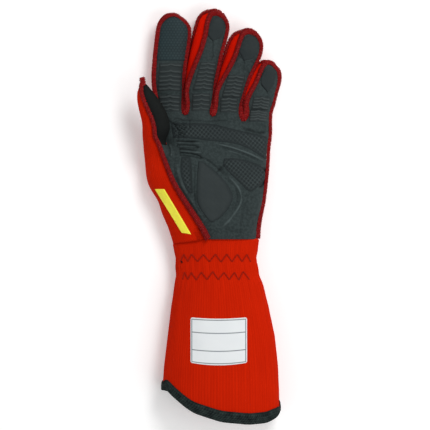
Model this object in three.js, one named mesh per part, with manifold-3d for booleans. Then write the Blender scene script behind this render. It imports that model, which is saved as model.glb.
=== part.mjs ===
import * as THREE from "three";
import { mergeVertices } from "three/addons/utils/BufferGeometryUtils.js";
import Module from "manifold-3d";

// A left-hand motor-racing glove with a long gauntlet, lying on its back with the palm up.
// The hand is a hollow cloth and suede shell: a black palm and thumb face, one red back that wraps
// round the thumb, and three red fourchettes between the fingers. Ridged dark-red seams stand
// outside along the joins, printed grip pads lie on the palm and fingers, and a red knitted
// gauntlet, bound in black at the hem, hangs inside the lower edge of the hand.
// Millimetres. +X runs towards the little finger, +Y towards the fingertips, +Z up out of the palm.

const wasm = await Module();
wasm.setup();

// Cloth, suede and the clearances between pieces.
const WALL = 1.6;
const PANEL_GAP = 0.4;
const LAYER_GAP = 0.35;
const LABEL_THICKNESS = 0.5;
const PAD_THICKNESS = 0.7;
const RIB_HEIGHT = 1.5;
const PRISM = { floor: 10, height: 60 };

// The seam's section: its gap to the cloth, half width at its foot and shoulder, its heights over
// the cloth, and how far it lifts where two fingers meet.
const SEAM = { gap: 0.6, foot: 1.5, shoulder: 1.35, shoulderHeight: 1.9, height: 2.9, crotchLift: 1.0 };

// Sections of the hand from the wrist to the thumb's fork. left and right are the sides, seam is
// where the thumb's seam crosses, web is the line that runs down from the thumb's crotch, top is
// the palm's height and mid the height of the sides. drop lowers the left end of the wrist edge.
const HAND_ROWS = [
  { y: -18.4, left: -29.8, seam: -0.8, web: 6.5, right: 39.6, top: 28.0, mid: 13.0, drop: 3.8 },
  { y: -9.0, left: -33.6, seam: -5.6, web: 1.5, right: 40.2, top: 29.0, mid: 13.0, drop: 0 },
  { y: 2.5, left: -38.6, seam: -13.0, web: -6.0, right: 42.3, top: 30.0, mid: 13.0, drop: 0 },
  { y: 14.2, left: -43.1, seam: -20.6, web: -13.5, right: 44.8, top: 30.5, mid: 13.0, drop: 0 },
  { y: 26.8, left: -50.6, seam: -28.2, web: -21.0, right: 46.4, top: 31.0, mid: 13.0, drop: 0 },
  { y: 39.0, left: -52.8, seam: -33.6, web: -27.0, right: 47.6, top: 30.5, mid: 12.5, drop: 0 },
  { y: 50.6, left: -53.8, seam: -38.0, web: -32.8, right: 48.3, top: 29.0, mid: 12.0, drop: 0 },
];
const HAND_TOP_POWER = 2.4;
const BOTTOM_POWER = 4;
const BOTTOM_FLATTENING = 1.12;
const EDGE_SHARE = 0.94;

// The row where the thumb leaves the hand. seam and underSeam are where the thumb's seams cross the
// top and the underside, and the web between thumb and palm runs through its three points.
const FORK = {
  y: 60.0, left: -54.8, seam: -41.4, underSeam: -48.0, right: 49.0, top: 27.0, mid: 11.5,
  thumbTop: 28.5, thumbMid: 17.0, thumbBottom: 6.5,
  webTop: { x: -35.0, z: 18.0 }, webMid: { x: -38.5, z: 12.0 }, webBottom: { x: -42.0, z: 6.0 },
};

// Sections of the palm between the thumb's fork and the fingers.
const PALM_ROWS = [
  { y: 67.4, left: -41.0, right: 50.0, top: 25.0, mid: 9.5 },
  { y: 74.0, left: -41.8, right: 50.2, top: 22.5, mid: 9.0 },
];
const PALM_LEFT_POWER = 1.6;

// Broad dents of the palm: below the thumb's crotch, at the little finger's heel, in the middle and
// round the ball of the thumb. across and along are their reach.
const DENTS = [
  { x: -16, y: 55, across: 13, along: 7, depth: 1.6 },
  { x: 45, y: 33, across: 6, along: 9, depth: 1.4 },
  { x: 9, y: 40, across: 8, along: 8, depth: 0.8 },
  { x: -24, y: 36, across: 6, along: 12, depth: 1.0 },
  { x: -16, y: 14, across: 6, along: 10, depth: 1.0 },
  { x: 38, y: 71, across: 9, along: 6, depth: 1.0 },
];

// The knuckle line: the two outer corners and the three crotches, at the heights of the palm
// side, the middle and the back of the web.
const KNUCKLES = [
  { x: -40.4, y: 80.0 },
  { x: -19.8, y: 85.2 },
  { x: 2.9, y: 84.0 },
  { x: 28.6, y: 80.4 },
  { x: 48.2, y: 77.6 },
];
const WEB_HEIGHTS = { top: 15.5, mid: 9.8, bottom: 4.6 };
const WEB_BACK_SET = 3.0;
const KNUCKLE_RISE = 3.2;

// Fingers: rows from the crotch to the last section, with the tip row after them. x, y and z are
// the section's centre, width and height its size. fl, fr, br and bl are the angles of the four
// seams round the section, front left, front right, back right and back left, from +X over +Z.
const FINGERS = [
  {
    tip: { x: -27.8, y: 167.0, z: 12.6, width: 9.0 },
    rows: [
      { x: -33.2, y: 91.0, z: 9.2, width: 20.8, height: 16.0, fl: 147, fr: 17, br: -38, bl: -150 },
      { x: -34.6, y: 101.3, z: 9.0, width: 22.8, height: 16.0, fl: 145, fr: 10, br: -38, bl: -150 },
      { x: -35.4, y: 113.7, z: 9.0, width: 24.6, height: 15.6, fl: 145, fr: 13, br: -38, bl: -150 },
      { x: -34.6, y: 126.2, z: 9.2, width: 25.2, height: 15.2, fl: 145, fr: 16, br: -38, bl: -150 },
      { x: -33.0, y: 138.6, z: 9.7, width: 25.8, height: 14.8, fl: 146, fr: 14, br: -38, bl: -150 },
      { x: -31.2, y: 150.2, z: 10.5, width: 26.2, height: 13.6, fl: 148, fr: 13, br: -36, bl: -150 },
      { x: -30.0, y: 158.4, z: 11.3, width: 24.4, height: 11.4, fl: 152, fr: 13, br: -34, bl: -152 },
      { x: -28.8, y: 163.8, z: 12.0, width: 18.0, height: 7.0, fl: 156, fr: 16, br: -30, bl: -154 },
    ],
  },
  {
    tip: { x: 6.2, y: 170.4, z: 13.5, width: 9.0 },
    rows: [
      { x: -8.6, y: 93.0, z: 9.2, width: 21.2, height: 16.4, fl: 144, fr: 20, br: -44, bl: -156 },
      { x: -9.2, y: 103.8, z: 9.2, width: 22.4, height: 16.4, fl: 142, fr: 12, br: -48, bl: -156 },
      { x: -8.5, y: 113.7, z: 9.4, width: 23.0, height: 16.2, fl: 129, fr: 13, br: -50, bl: -156 },
      { x: -6.1, y: 126.2, z: 9.8, width: 23.2, height: 15.8, fl: 112, fr: 14, br: -50, bl: -158 },
      { x: -3.0, y: 138.6, z: 10.4, width: 24.2, height: 15.2, fl: 106, fr: 12, br: -50, bl: -162 },
      { x: 0.8, y: 150.2, z: 11.4, width: 25.2, height: 14.0, fl: 108, fr: 12, br: -50, bl: -170 },
      { x: 3.4, y: 160.6, z: 12.4, width: 24.4, height: 11.4, fl: 112, fr: 14, br: -46, bl: -176 },
      { x: 5.2, y: 166.8, z: 13.1, width: 18.4, height: 7.0, fl: 126, fr: 18, br: -40, bl: -172 },
    ],
  },
  {
    tip: { x: 32.6, y: 154.6, z: 13.5, width: 9.0 },
    rows: [
      { x: 15.0, y: 91.6, z: 9.2, width: 21.4, height: 16.2, fl: 146, fr: 25, br: -44, bl: -156 },
      { x: 15.6, y: 101.3, z: 9.2, width: 22.2, height: 16.0, fl: 142, fr: 22, br: -48, bl: -158 },
      { x: 17.7, y: 109.8, z: 9.5, width: 23.0, height: 15.8, fl: 130, fr: 24, br: -50, bl: -162 },
      { x: 21.3, y: 120.4, z: 10.0, width: 23.4, height: 15.4, fl: 117, fr: 30, br: -50, bl: -168 },
      { x: 26.0, y: 130.3, z: 10.7, width: 25.6, height: 14.8, fl: 114, fr: 30, br: -50, bl: -174 },
      { x: 29.2, y: 138.6, z: 11.5, width: 26.8, height: 13.8, fl: 114, fr: 12, br: -50, bl: -178 },
      { x: 31.5, y: 146.2, z: 12.5, width: 24.2, height: 11.2, fl: 116, fr: 14, br: -46, bl: -180 },
      { x: 32.4, y: 151.4, z: 13.1, width: 17.6, height: 7.0, fl: 128, fr: 18, br: -40, bl: -172 },
    ],
  },
  {
    tip: { x: 51.4, y: 127.4, z: 12.5, width: 8.0 },
    rows: [
      { x: 39.3, y: 86.4, z: 8.8, width: 20.6, height: 15.4, fl: 134, fr: 30, br: -30, bl: -148 },
      { x: 38.9, y: 93.8, z: 8.8, width: 24.4, height: 15.2, fl: 124, fr: 30, br: -30, bl: -148 },
      { x: 40.3, y: 100.9, z: 9.0, width: 25.2, height: 14.8, fl: 118, fr: 30, br: -30, bl: -150 },
      { x: 43.6, y: 109.4, z: 9.6, width: 25.0, height: 14.2, fl: 114, fr: 30, br: -30, bl: -152 },
      { x: 46.4, y: 116.2, z: 10.5, width: 23.4, height: 13.0, fl: 115, fr: 30, br: -30, bl: -148 },
      { x: 48.6, y: 121.8, z: 11.5, width: 19.6, height: 10.4, fl: 119, fr: 30, br: -30, bl: -150 },
      { x: 50.2, y: 125.2, z: 12.1, width: 14.0, height: 6.4, fl: 130, fr: 30, br: -30, bl: -156 },
    ],
  },
];
const FINGER_POWER = 2.3;

// The thumb: sections across X, tip last. seam is the angle of the upper seam, from +X over +Z.
const THUMB = {
  tip: { x: -54.4, y: 111.6, z: 29.4 },
  rows: [
    { x: -44.9, y: 66.6, z: 23.0, width: 20.6, height: 17.6, seam: 88, under: -96 },
    { x: -43.9, y: 74.0, z: 26.0, width: 22.8, height: 17.0, seam: 97, under: -104 },
    { x: -44.6, y: 81.4, z: 27.6, width: 22.6, height: 16.4, seam: 103, under: -108 },
    { x: -47.2, y: 89.0, z: 28.6, width: 21.6, height: 15.4, seam: 108, under: -110 },
    { x: -50.2, y: 96.5, z: 29.2, width: 18.6, height: 13.8, seam: 112, under: -112 },
    { x: -52.8, y: 103.2, z: 29.4, width: 13.4, height: 10.8, seam: 116, under: -116 },
    { x: -54.0, y: 108.4, z: 29.4, width: 7.4, height: 6.4, seam: 120, under: -120 },
  ],
};
const THUMB_POWER = 2.1;

// The gauntlet from the edge that laps inside the hand down to the mouth, where its height is
// top over bottom, and its hem's height round the mouth by angle, from +X over +Z.
const CUFF_ROWS = [
  { y: -13.6, left: -29.2, right: 37.4, top: 26.0, bottom: 2.3 },
  { y: -18.0, left: -28.2, right: 37.0, top: 25.6, bottom: 2.2 },
  { y: -22.8, left: -27.1, right: 39.4, top: 25.8, bottom: 2.2 },
  { y: -25.6, left: -29.0, right: 41.2, top: 26.0, bottom: 2.2 },
  { y: -31.0, left: -28.6, right: 40.6, top: 25.0, bottom: 2.4 },
  { y: -38.0, left: -27.6, right: 40.2, top: 24.6, bottom: 2.4 },
  { y: -46.0, left: -27.6, right: 42.0, top: 25.0, bottom: 2.2 },
  { y: -56.0, left: -28.6, right: 45.2, top: 28.0, bottom: 1.7 },
  { y: -74.0, left: -31.4, right: 49.4, top: 31.6, bottom: 1.7 },
  { y: -98.0, left: -34.2, right: 54.2, top: 34.6, bottom: 1.7 },
  { y: -124.0, left: -37.2, right: 57.2, top: 36.6, bottom: 1.7 },
  { y: -142.0, left: -38.2, right: 58.2, top: 37.2, bottom: 1.7 },
  { y: -176.0, left: -38.2, right: 58.2, top: 37.2, bottom: 1.7 },
];
const CUFF_WHOLE_ROWS = 11;
const CUFF_TOP_POWER = 2.1;
const CUFF_COLUMNS = 32;
const GATHER = { depth: 0.35, from: -52, to: -26 };
const HEM = [
  { angle: -20, y: -160.4 },
  { angle: 0, y: -161.6 },
  { angle: 20, y: -165.4 },
  { angle: 40, y: -169.2 },
  { angle: 62, y: -170.4 },
  { angle: 90, y: -168.2 },
  { angle: 118, y: -160.8 },
  { angle: 138, y: -150.6 },
  { angle: 158, y: -141.4 },
  { angle: 180, y: -143.6 },
  { angle: 200, y: -144.6 },
  { angle: 222, y: -147.2 },
  { angle: 245, y: -158.0 },
  { angle: 270, y: -165.0 },
  { angle: 298, y: -167.4 },
  { angle: 320, y: -163.4 },
  { angle: 340, y: -160.4 },
  { angle: 360, y: -161.6 },
  { angle: 380, y: -165.4 },
];
const BINDING = { thickness: 1.0, leaf: 8.2, edgeGap: 0.4 };
const BINDING_ROW = 11;

// Printed pads and sewn labels, as outlines seen from above, [x, y] corners.
const PALM_PADS = {
  palm_pad_upper: [
    [-17, 75], [4, 73.5], [24, 70], [46, 66], [46.5, 46.5], [33, 53.5], [18, 58], [4, 61], [-16, 63],
  ],
  palm_pad_heel: [
    [8, 54], [24, 51.5], [38, 46.5], [45.5, 41], [45, 28], [38, 17.5], [31, 13.5], [24, 22], [15, 32], [6, 43.5],
  ],
  palm_pad_centre: [
    [-8, 45], [2, 41], [12, 32], [22, 20], [25.5, 9], [22, 0], [13, -8], [4, -4], [-4, 4], [-10, 15], [-11, 30],
  ],
  palm_pad_thenar: [[-24, 49], [-15, 51.5], [-13.5, 35], [-13, 20], [-17, 17], [-22, 24], [-25, 36]],
};
// Grip ribs across each finger: their heights up the glove, and the ends of the first and last.
const RIBS = { bar: 1.2, rim: 1.2 };
const RIB_PADS = {
  ribs_index_upper: { first: [-41.6, -25.0], last: [-40.4, -23.6], ys: [106.4, 109.8, 113.2, 116.6, 120.7, 126] },
  ribs_index_lower: { first: [-39.8, -25.0], last: [-41.4, -25.2], ys: [89.3, 92.4, 95.6, 99.6] },
  ribs_middle_upper: { first: [-12.6, 0.2], last: [-5.6, 3.4], ys: [107.1, 110.3, 113.5, 116.7, 120, 123.5, 127] },
  ribs_middle_lower: { first: [-13.4, -0.6], last: [-12.4, 0.0], ys: [89.9, 93.4, 97.1, 101] },
  ribs_ring_upper: { first: [11.4, 23.6], last: [16.6, 28.4], ys: [101.3, 104.1, 107, 110, 113, 116.2] },
  ribs_ring_lower: { first: [9.8, 22.6], last: [10.4, 23.2], ys: [88.6, 91.6, 94.6, 97.6] },
  ribs_little_upper: { first: [35.4, 48.2], last: [37.6, 50.2], ys: [91, 93.4, 95.8, 98.3] },
  ribs_little_lower: { first: [33.6, 46.4], last: [34.8, 47.4], ys: [80.9, 83.1, 85.2, 87.2] },
};
const CUFF_LABEL = { left: -15.4, right: 31.6, bottom: -120.6, top: -83.0, corner: 2.0 };
const THUMB_LABEL = [[-45.3, 23.3], [-36.9, 23.3], [-14.6, -14.6], [-22.8, -12.4]];

const COLOURS = {
  red_knit: { color: 0xc41e02, roughness: 0.85 },
  seam_thread: { color: 0x6f1414, roughness: 0.9 },
  palm_suede: { color: 0x2c3335, roughness: 0.75 },
  pad_print: { color: 0x33393b, roughness: 0.55 },
  binding_tape: { color: 0x222b29, roughness: 0.8 },
  white_label: { color: 0xe9edef, roughness: 0.6 },
  yellow_label: { color: 0xf2dc3c, roughness: 0.6 },
};

// Height share of an oval at a share u of its half width.
function ovalRise(u, power) {
  return Math.max(0, 1 - Math.abs(u) ** power) ** (1 / power);
}

// A point on an oval of half sizes a and b at an angle in degrees.
function ovalPoint(angle, a, b, power) {
  const c = Math.cos(THREE.MathUtils.degToRad(angle));
  const s = Math.sin(THREE.MathUtils.degToRad(angle));
  const grow = (Math.abs(c) ** power + Math.abs(s) ** power) ** (-1 / power);
  return [a * c * grow, b * s * grow];
}

// A value read from the rows of a table by straight lines between its keys.
function readTable(rows, key, at, column) {
  const up = rows[1][key] > rows[0][key];
  let i = 1;
  while (i < rows.length - 1 && (up ? rows[i][key] < at : rows[i][key] > at)) i += 1;
  const [a, b] = [rows[i - 1], rows[i]];
  return THREE.MathUtils.lerp(a[column], b[column], (at - a[key]) / (b[key] - a[key]));
}

// Points spread evenly between anchors, given as [index, value] pairs.
function spread(anchors) {
  const values = [];
  for (let i = 1; i < anchors.length; i += 1) {
    const [[from, a], [to, b]] = [anchors[i - 1], anchors[i]];
    for (let c = from; c <= to; c += 1) values[c] = THREE.MathUtils.lerp(a, b, (c - from) / (to - from));
  }
  return values;
}

// A surface of quads and triangles over shared points, each face on a named panel.
class Surface {
  constructor() {
    this.points = [];
    this.faces = [];
  }

  add(x, y, z) {
    this.points.push(new THREE.Vector3(x, y, z));
    return this.points.length - 1;
  }

  // Faces between two loops of the same length. panelOf names the panel of each span.
  band(lower, upper, panelOf) {
    lower.forEach((a, i) => {
      const j = (i + 1) % lower.length;
      const ids = [a, lower[j], upper[j], upper[i]].filter((id, k, all) => id !== all[(k + 3) % 4]);
      if (ids.length > 2) this.faces.push({ panel: panelOf(i), ids });
    });
  }

  faceNormal(ids) {
    const sum = new THREE.Vector3();
    ids.forEach((id, k) => sum.add(this.points[id].clone().cross(this.points[ids[(k + 1) % ids.length]])));
    return sum;
  }

  normals() {
    const sums = this.points.map(() => new THREE.Vector3());
    this.faces.forEach((face) => {
      const n = this.faceNormal(face.ids);
      face.ids.forEach((id) => sums[id].add(n));
    });
    return sums.map((n) => n.normalize());
  }

  // A closed geometry of the chosen faces, between two offsets along the normals, its free edges
  // drawn in by a margin.
  shell(chosen, low, high, margin) {
    const normals = this.normals();
    const faces = this.faces.filter(chosen);
    const edges = new Map();
    faces.forEach((face) => face.ids.forEach((a, k) => {
      edges.set(a + ">" + face.ids[(k + 1) % face.ids.length], face);
    }));
    const free = [...edges].filter(([key]) => !edges.has(key.split(">").reverse().join(">")));
    const inward = new Map();
    free.forEach(([key, face]) => {
      const [a, b] = key.split(">").map(Number);
      const along = this.points[b].clone().sub(this.points[a]);
      const into = this.faceNormal(face.ids).cross(along).normalize();
      [a, b].forEach((id) => inward.set(id, (inward.get(id) ?? new THREE.Vector3()).add(into)));
    });
    const place = (id, offset) => {
      const n = normals[id];
      const p = this.points[id].clone().addScaledVector(n, offset);
      const draw = inward.get(id);
      if (draw) {
        const flat = draw.clone().addScaledVector(n, -draw.dot(n));
        p.addScaledVector(flat, (2 * margin) / Math.max(flat.lengthSq(), 1));
      }
      return p;
    };
    const corners = [];
    const fan = (points) => {
      for (let k = 2; k < points.length; k += 1) corners.push(points[0], points[k - 1], points[k]);
    };
    faces.forEach((face) => {
      fan(face.ids.map((id) => place(id, high)));
      const under = face.ids.map((id) => place(id, low));
      for (let k = 2; k < under.length; k += 1) corners.push(under[0], under[k], under[k - 1]);
    });
    free.forEach(([key]) => {
      const [a, b] = key.split(">").map(Number);
      const wall = [place(b, high), place(a, high), place(a, low), place(b, low)];
      fan(a < b ? [...wall.slice(1), wall[0]] : wall);
    });
    return new THREE.BufferGeometry().setFromPoints(corners);
  }
}

function toSolid(geometry) {
  const bare = geometry.clone();
  bare.deleteAttribute("normal");
  bare.deleteAttribute("uv");
  const merged = mergeVertices(bare, 1e-4);
  const triVerts = new Uint32Array(merged.index.array);
  const vertProperties = merged.attributes.position.array;
  return new wasm.Manifold(new wasm.Mesh({ numProp: 3, vertProperties, triVerts }));
}

function toGeometry(solid) {
  const mesh = solid.getMesh();
  const geometry = new THREE.BufferGeometry();
  geometry.setAttribute("position", new THREE.BufferAttribute(new Float32Array(mesh.vertProperties), 3));
  geometry.setIndex(new THREE.BufferAttribute(new Uint32Array(mesh.triVerts), 1));
  return geometry;
}

// An upright prism over an outline seen from above.
function prism(outline) {
  const shape = new THREE.Shape(outline.map(([x, y]) => new THREE.Vector2(x, y)));
  const block = new THREE.ExtrudeGeometry(shape, { depth: PRISM.height, bevelEnabled: false });
  return toSolid(block.translate(0, 0, PRISM.floor));
}

// The hand's surface, built as loops of points that fork into the thumb and the fingers.
const hand = new Surface();
const TOP_COLUMNS = 18;
const SEAM_COLUMN = 3;
const WEB_COLUMN = 5;
const LAST_COLUMN = TOP_COLUMNS - 1;

function bottomRise(u, mid) {
  return mid * Math.max(0, 1 - BOTTOM_FLATTENING * ovalRise(u, BOTTOM_POWER));
}

// A loop from the columns' x and the heights above and below them: over the palm from left to
// right, down the right side and back along the underside.
function loopOf(xs, yOf, topOf, bottomOf, right, left) {
  const top = xs.map((x) => hand.add(x, yOf(x), topOf(x)));
  const bottom = xs.map((x) => hand.add(x, yOf(x), bottomOf(x)));
  return [...top, hand.add(...right), ...bottom.reverse(), hand.add(...left)];
}

function dentAt(x, y) {
  const share = (d) => Math.exp(-(((x - d.x) / d.across) ** 2) - ((y - d.y) / d.along) ** 2);
  return DENTS.reduce((sum, d) => sum + d.depth * share(d), 0);
}

function handLoop(row) {
  const centre = (row.left + row.right) / 2;
  const half = (row.right - row.left) / 2;
  const xs = spread([
    [0, centre - EDGE_SHARE * half],
    [SEAM_COLUMN, row.seam],
    [WEB_COLUMN, row.web],
    [LAST_COLUMN, centre + EDGE_SHARE * half],
  ]);
  const share = (x) => (x - centre) / half;
  const yOf = (x) => row.y - (row.drop * Math.max(0, row.seam - x)) / (row.seam - row.left);
  return loopOf(
    xs,
    yOf,
    (x) => row.mid + (row.top - row.mid) * ovalRise(share(x), HAND_TOP_POWER) - dentAt(x, row.y),
    (x) => bottomRise(share(x), row.mid),
    [row.right, row.y, row.mid],
    [row.left, yOf(row.left), row.mid],
  );
}

const handLoops = HAND_ROWS.map(handLoop);

// The fork: the thumb's oval on the left of the web, the palm's on its right.
function forkLoop() {
  const f = FORK;
  const centre = (f.left + f.right) / 2;
  const half = (f.right - f.left) / 2;
  const columns = (seam, web) => spread([
    [0, f.left + 1.6],
    [SEAM_COLUMN, seam],
    [WEB_COLUMN, web.x],
    [LAST_COLUMN, centre + EDGE_SHARE * half],
  ]);
  const thumbRise = (x, web) => ovalRise((2 * x - f.left - web.x) / (web.x - f.left), THUMB_POWER);
  const palmShare = (x, web) => Math.min(1, (x - web.x) / 14);
  const palmRise = (x) => (f.top - f.mid) * ovalRise((x - centre) / half, HAND_TOP_POWER);
  const palmTop = (x) => f.mid + palmRise(x) - dentAt(x, f.y);
  const topOf = (x) => {
    if (x < f.webTop.x) return f.webTop.z + (f.thumbTop - f.webTop.z) * thumbRise(x, f.webTop);
    return THREE.MathUtils.lerp(f.webTop.z, palmTop(x), Math.sin((palmShare(x, f.webTop) * Math.PI) / 2));
  };
  const bottomOf = (x) => {
    if (x < f.webBottom.x) return f.thumbBottom + 4 * (1 - thumbRise(x, f.webBottom));
    return f.webBottom.z * (1 - palmShare(x, f.webBottom)) + bottomRise((x - centre) / half, f.mid) / 2;
  };
  const top = columns(f.seam, f.webTop).map((x) => hand.add(x, f.y, topOf(x)));
  const bottom = columns(f.underSeam, f.webBottom).map((x) => hand.add(x, f.y, bottomOf(x)));
  return [...top, hand.add(f.right, f.y, f.mid), ...bottom.reverse(), hand.add(f.left, f.y, f.thumbMid)];
}

const fork = forkLoop();
const webMiddle = hand.add(FORK.webMid.x, FORK.y, FORK.webMid.z);
const HAND_SIZE = fork.length;
const bottomId = (column) => fork[HAND_SIZE - 2 - column];

const handPanel = (i) => (i >= SEAM_COLUMN && i <= LAST_COLUMN ? "palm_panel" : "back_panel");
[...handLoops.slice(1), fork].forEach((upper, i) => hand.band(handLoops[i], upper, handPanel));

// The thumb: the same number of points round each section as round its part of the fork.
const thumbFork = [
  ...fork.slice(0, WEB_COLUMN + 1),
  webMiddle,
  ...Array.from({ length: WEB_COLUMN + 1 }, (_, i) => bottomId(WEB_COLUMN - i)),
  fork[HAND_SIZE - 1],
];
const thumbUnderSeam = thumbFork.length - 2 - SEAM_COLUMN;

function thumbLoop(row) {
  const angles = spread([
    [0, 168],
    [SEAM_COLUMN, row.seam],
    [WEB_COLUMN + 1, 0],
    [thumbUnderSeam, row.under],
    [thumbFork.length - 2, -168],
  ]);
  angles.push(-180);
  return angles.map((angle) => {
    const [x, z] = ovalPoint(angle, row.width / 2, row.height / 2, THUMB_POWER);
    return hand.add(row.x + x, row.y, row.z + z);
  });
}

const thumbLoops = [thumbFork, ...THUMB.rows.map(thumbLoop)];
const thumbApex = hand.add(THUMB.tip.x, THUMB.tip.y, THUMB.tip.z);
const thumbPanel = (i) => (i >= SEAM_COLUMN && i < thumbUnderSeam ? "thumb_panel" : "back_panel");
thumbLoops.slice(1).forEach((upper, i) => hand.band(thumbLoops[i], upper, thumbPanel));
hand.band(thumbLoops.at(-1), thumbFork.map(() => thumbApex), thumbPanel);

// The palm between the thumb's fork and the knuckles.
const palmFork = [
  ...fork.slice(WEB_COLUMN, TOP_COLUMNS),
  fork[TOP_COLUMNS],
  ...fork.slice(TOP_COLUMNS + 1, HAND_SIZE - 1 - WEB_COLUMN),
  webMiddle,
];
const PALM_TOP = 13;
const SPANS = 3;

function palmLoop(row, i) {
  const centre = (row.left + row.right) / 2;
  const half = (row.right - row.left) / 2;
  const even = spread([[0, centre - EDGE_SHARE * half], [PALM_TOP - 1, centre + EDGE_SHARE * half]]);
  const knuckles = spread(KNUCKLES.map((k, n) => [SPANS * n, k.x]));
  const towards = (i + 1) / (PALM_ROWS.length + 1);
  const xs = even.map((x, c) => THREE.MathUtils.lerp(x, knuckles[c], c === 0 || c === PALM_TOP - 1 ? 0 : towards));
  const share = (x) => (x - centre) / half;
  const power = (x) => (x < centre ? PALM_LEFT_POWER : HAND_TOP_POWER);
  return loopOf(
    xs,
    () => row.y,
    (x) => row.mid + (row.top - row.mid) * ovalRise(share(x), power(x)) - dentAt(x, row.y),
    (x) => bottomRise(share(x), row.mid),
    [row.right, row.y, row.mid],
    [row.left, row.y, row.mid],
  );
}

const palmLoops = [palmFork, ...PALM_ROWS.map(palmLoop)];

// The knuckle row: crotches at its web columns, and the roots of the fingers between them.
function knuckleLoop() {
  const xs = spread(KNUCKLES.map((k, n) => [SPANS * n, k.x]));
  const ys = spread(KNUCKLES.map((k, n) => [SPANS * n, k.y]));
  const crest = (c) => (c % SPANS === 0 ? 0 : KNUCKLE_RISE);
  const last = PALM_TOP - 1;
  const top = xs.map((x, c) => hand.add(x, ys[c], WEB_HEIGHTS.top + crest(c)));
  const bottom = xs.map((x, c) => hand.add(x, ys[c] - WEB_BACK_SET, crest(c) ? 0.6 : WEB_HEIGHTS.bottom));
  const right = hand.add(KNUCKLES[4].x + 1.9, ys[last], WEB_HEIGHTS.mid);
  const left = hand.add(KNUCKLES[0].x - 2.1, ys[0], WEB_HEIGHTS.mid);
  return [...top, right, ...bottom.reverse(), left];
}

const knuckles = knuckleLoop();
const palmPanel = (i) => (i <= PALM_TOP - 1 ? "palm_panel" : "back_panel");
[...palmLoops.slice(1), knuckles].forEach((upper, i) => hand.band(palmLoops[i], upper, palmPanel));

const crotchMiddles = KNUCKLES.slice(1, 4).map((k) => hand.add(k.x, k.y - WEB_BACK_SET / 2, WEB_HEIGHTS.mid));
const knuckleRight = knuckles[PALM_TOP];
const knuckleLeft = knuckles[2 * PALM_TOP + 1];
const FOURCHETTES = ["fourchette_index_middle", "fourchette_middle_ring", "fourchette_ring_little"];

function unitBetween(a, b) {
  const length = Math.hypot(b.x - a.x, b.y - a.y);
  return [(b.x - a.x) / length, (b.y - a.y) / length];
}

// A finger's loops: four points over the palm side, one on each side, four along the back.
function fingerLoops(finger, f) {
  const root = [
    ...knuckles.slice(SPANS * f, SPANS * f + SPANS + 1),
    f === 3 ? knuckleRight : crotchMiddles[f],
    ...Array.from({ length: SPANS + 1 }, (_, i) => knuckles[2 * PALM_TOP - SPANS * (f + 1) + i]),
    f === 0 ? knuckleLeft : crotchMiddles[f - 1],
  ];
  const stops = [...finger.rows, finger.tip];
  const loops = finger.rows.map((row, i) => {
    const [dx, dy] = unitBetween(stops[Math.max(0, i - 1)], stops[i + 1]);
    const angles = spread([[0, row.fl], [3, row.fr], [5, row.br], [8, row.bl], [10, row.fl - 360]]);
    return angles.slice(0, 10).map((angle) => {
      const [across, up] = ovalPoint(angle, row.width / 2, row.height / 2, FINGER_POWER);
      return hand.add(row.x + across * dy, row.y - across * dx, row.z + up);
    });
  });
  const [dx, dy] = unitBetween(finger.rows.at(-1), finger.tip);
  const tip = [-0.5, -0.2, 0.2, 0.5].map((share, i) => {
    const back = i === 0 || i === 3 ? 1.5 : 0;
    const across = share * finger.tip.width;
    return hand.add(finger.tip.x + across * dy - back * dx, finger.tip.y - across * dx - back * dy, finger.tip.z);
  });
  return { root, loops, tip };
}

function fingerPanel(f) {
  const right = f === 3 ? ["palm_panel", "back_panel"] : [FOURCHETTES[f], FOURCHETTES[f]];
  const left = f === 0 ? ["back_panel", "back_panel"] : [FOURCHETTES[f - 1], FOURCHETTES[f - 1]];
  const around = ["palm_panel", "palm_panel", "palm_panel", ...right, "back_panel", "back_panel", "back_panel", ...left];
  return (i) => around[i];
}

const fingers = FINGERS.map(fingerLoops);
fingers.forEach(({ root, loops, tip }, f) => {
  [...loops].forEach((upper, i) => hand.band(i === 0 ? root : loops[i - 1], upper, fingerPanel(f)));
  const [a, b, c, d] = tip;
  hand.band(loops.at(-1), [a, b, c, d, d, d, c, b, a, a], fingerPanel(f));
});

// The gauntlet, as rows of points round the arm from the mouth up to the edge inside the hand.
const cuff = new Surface();

function hemHeight(angle) {
  return readTable(HEM, "angle", angle, "y");
}

function cuffPoint(angle, y) {
  const at = (column) => readTable(CUFF_ROWS, "y", y, column);
  const mid = (at("top") + at("bottom")) / 2;
  const up = Math.sin(THREE.MathUtils.degToRad(angle)) > 0;
  const power = up ? CUFF_TOP_POWER : BOTTOM_POWER;
  const half = (at("right") - at("left")) / 2;
  const [x, z] = ovalPoint(angle, half, (at("top") - at("bottom")) / 2, power);
  return [(at("right") + at("left")) / 2 + x, y, mid + z];
}

function cuffLoop(yOf) {
  return Array.from({ length: CUFF_COLUMNS }, (_, j) => {
    const angle = 180 - (360 * j) / CUFF_COLUMNS;
    const y = yOf(angle < 0 ? angle + 360 : angle);
    const [x, , z] = cuffPoint(angle, y);
    const gathered = y < GATHER.to && y > GATHER.from && j % 2 === 1 && angle > 0 && angle < 180;
    return cuff.add(x, y, z - (gathered ? GATHER.depth : 0));
  });
}

const hemToRow = CUFF_ROWS[CUFF_WHOLE_ROWS - 1].y;
const cuffLoops = [
  cuffLoop(hemHeight),
  cuffLoop((angle) => hemHeight(angle) + BINDING_ROW),
  cuffLoop((angle) => (hemHeight(angle) + BINDING_ROW + hemToRow) / 2),
  ...CUFF_ROWS.slice(0, CUFF_WHOLE_ROWS).reverse().map((row) => cuffLoop(() => row.y)),
];
cuffLoops.slice(1).forEach((upper, i) => cuff.band(cuffLoops[i], upper, () => "cuff"));

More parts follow.
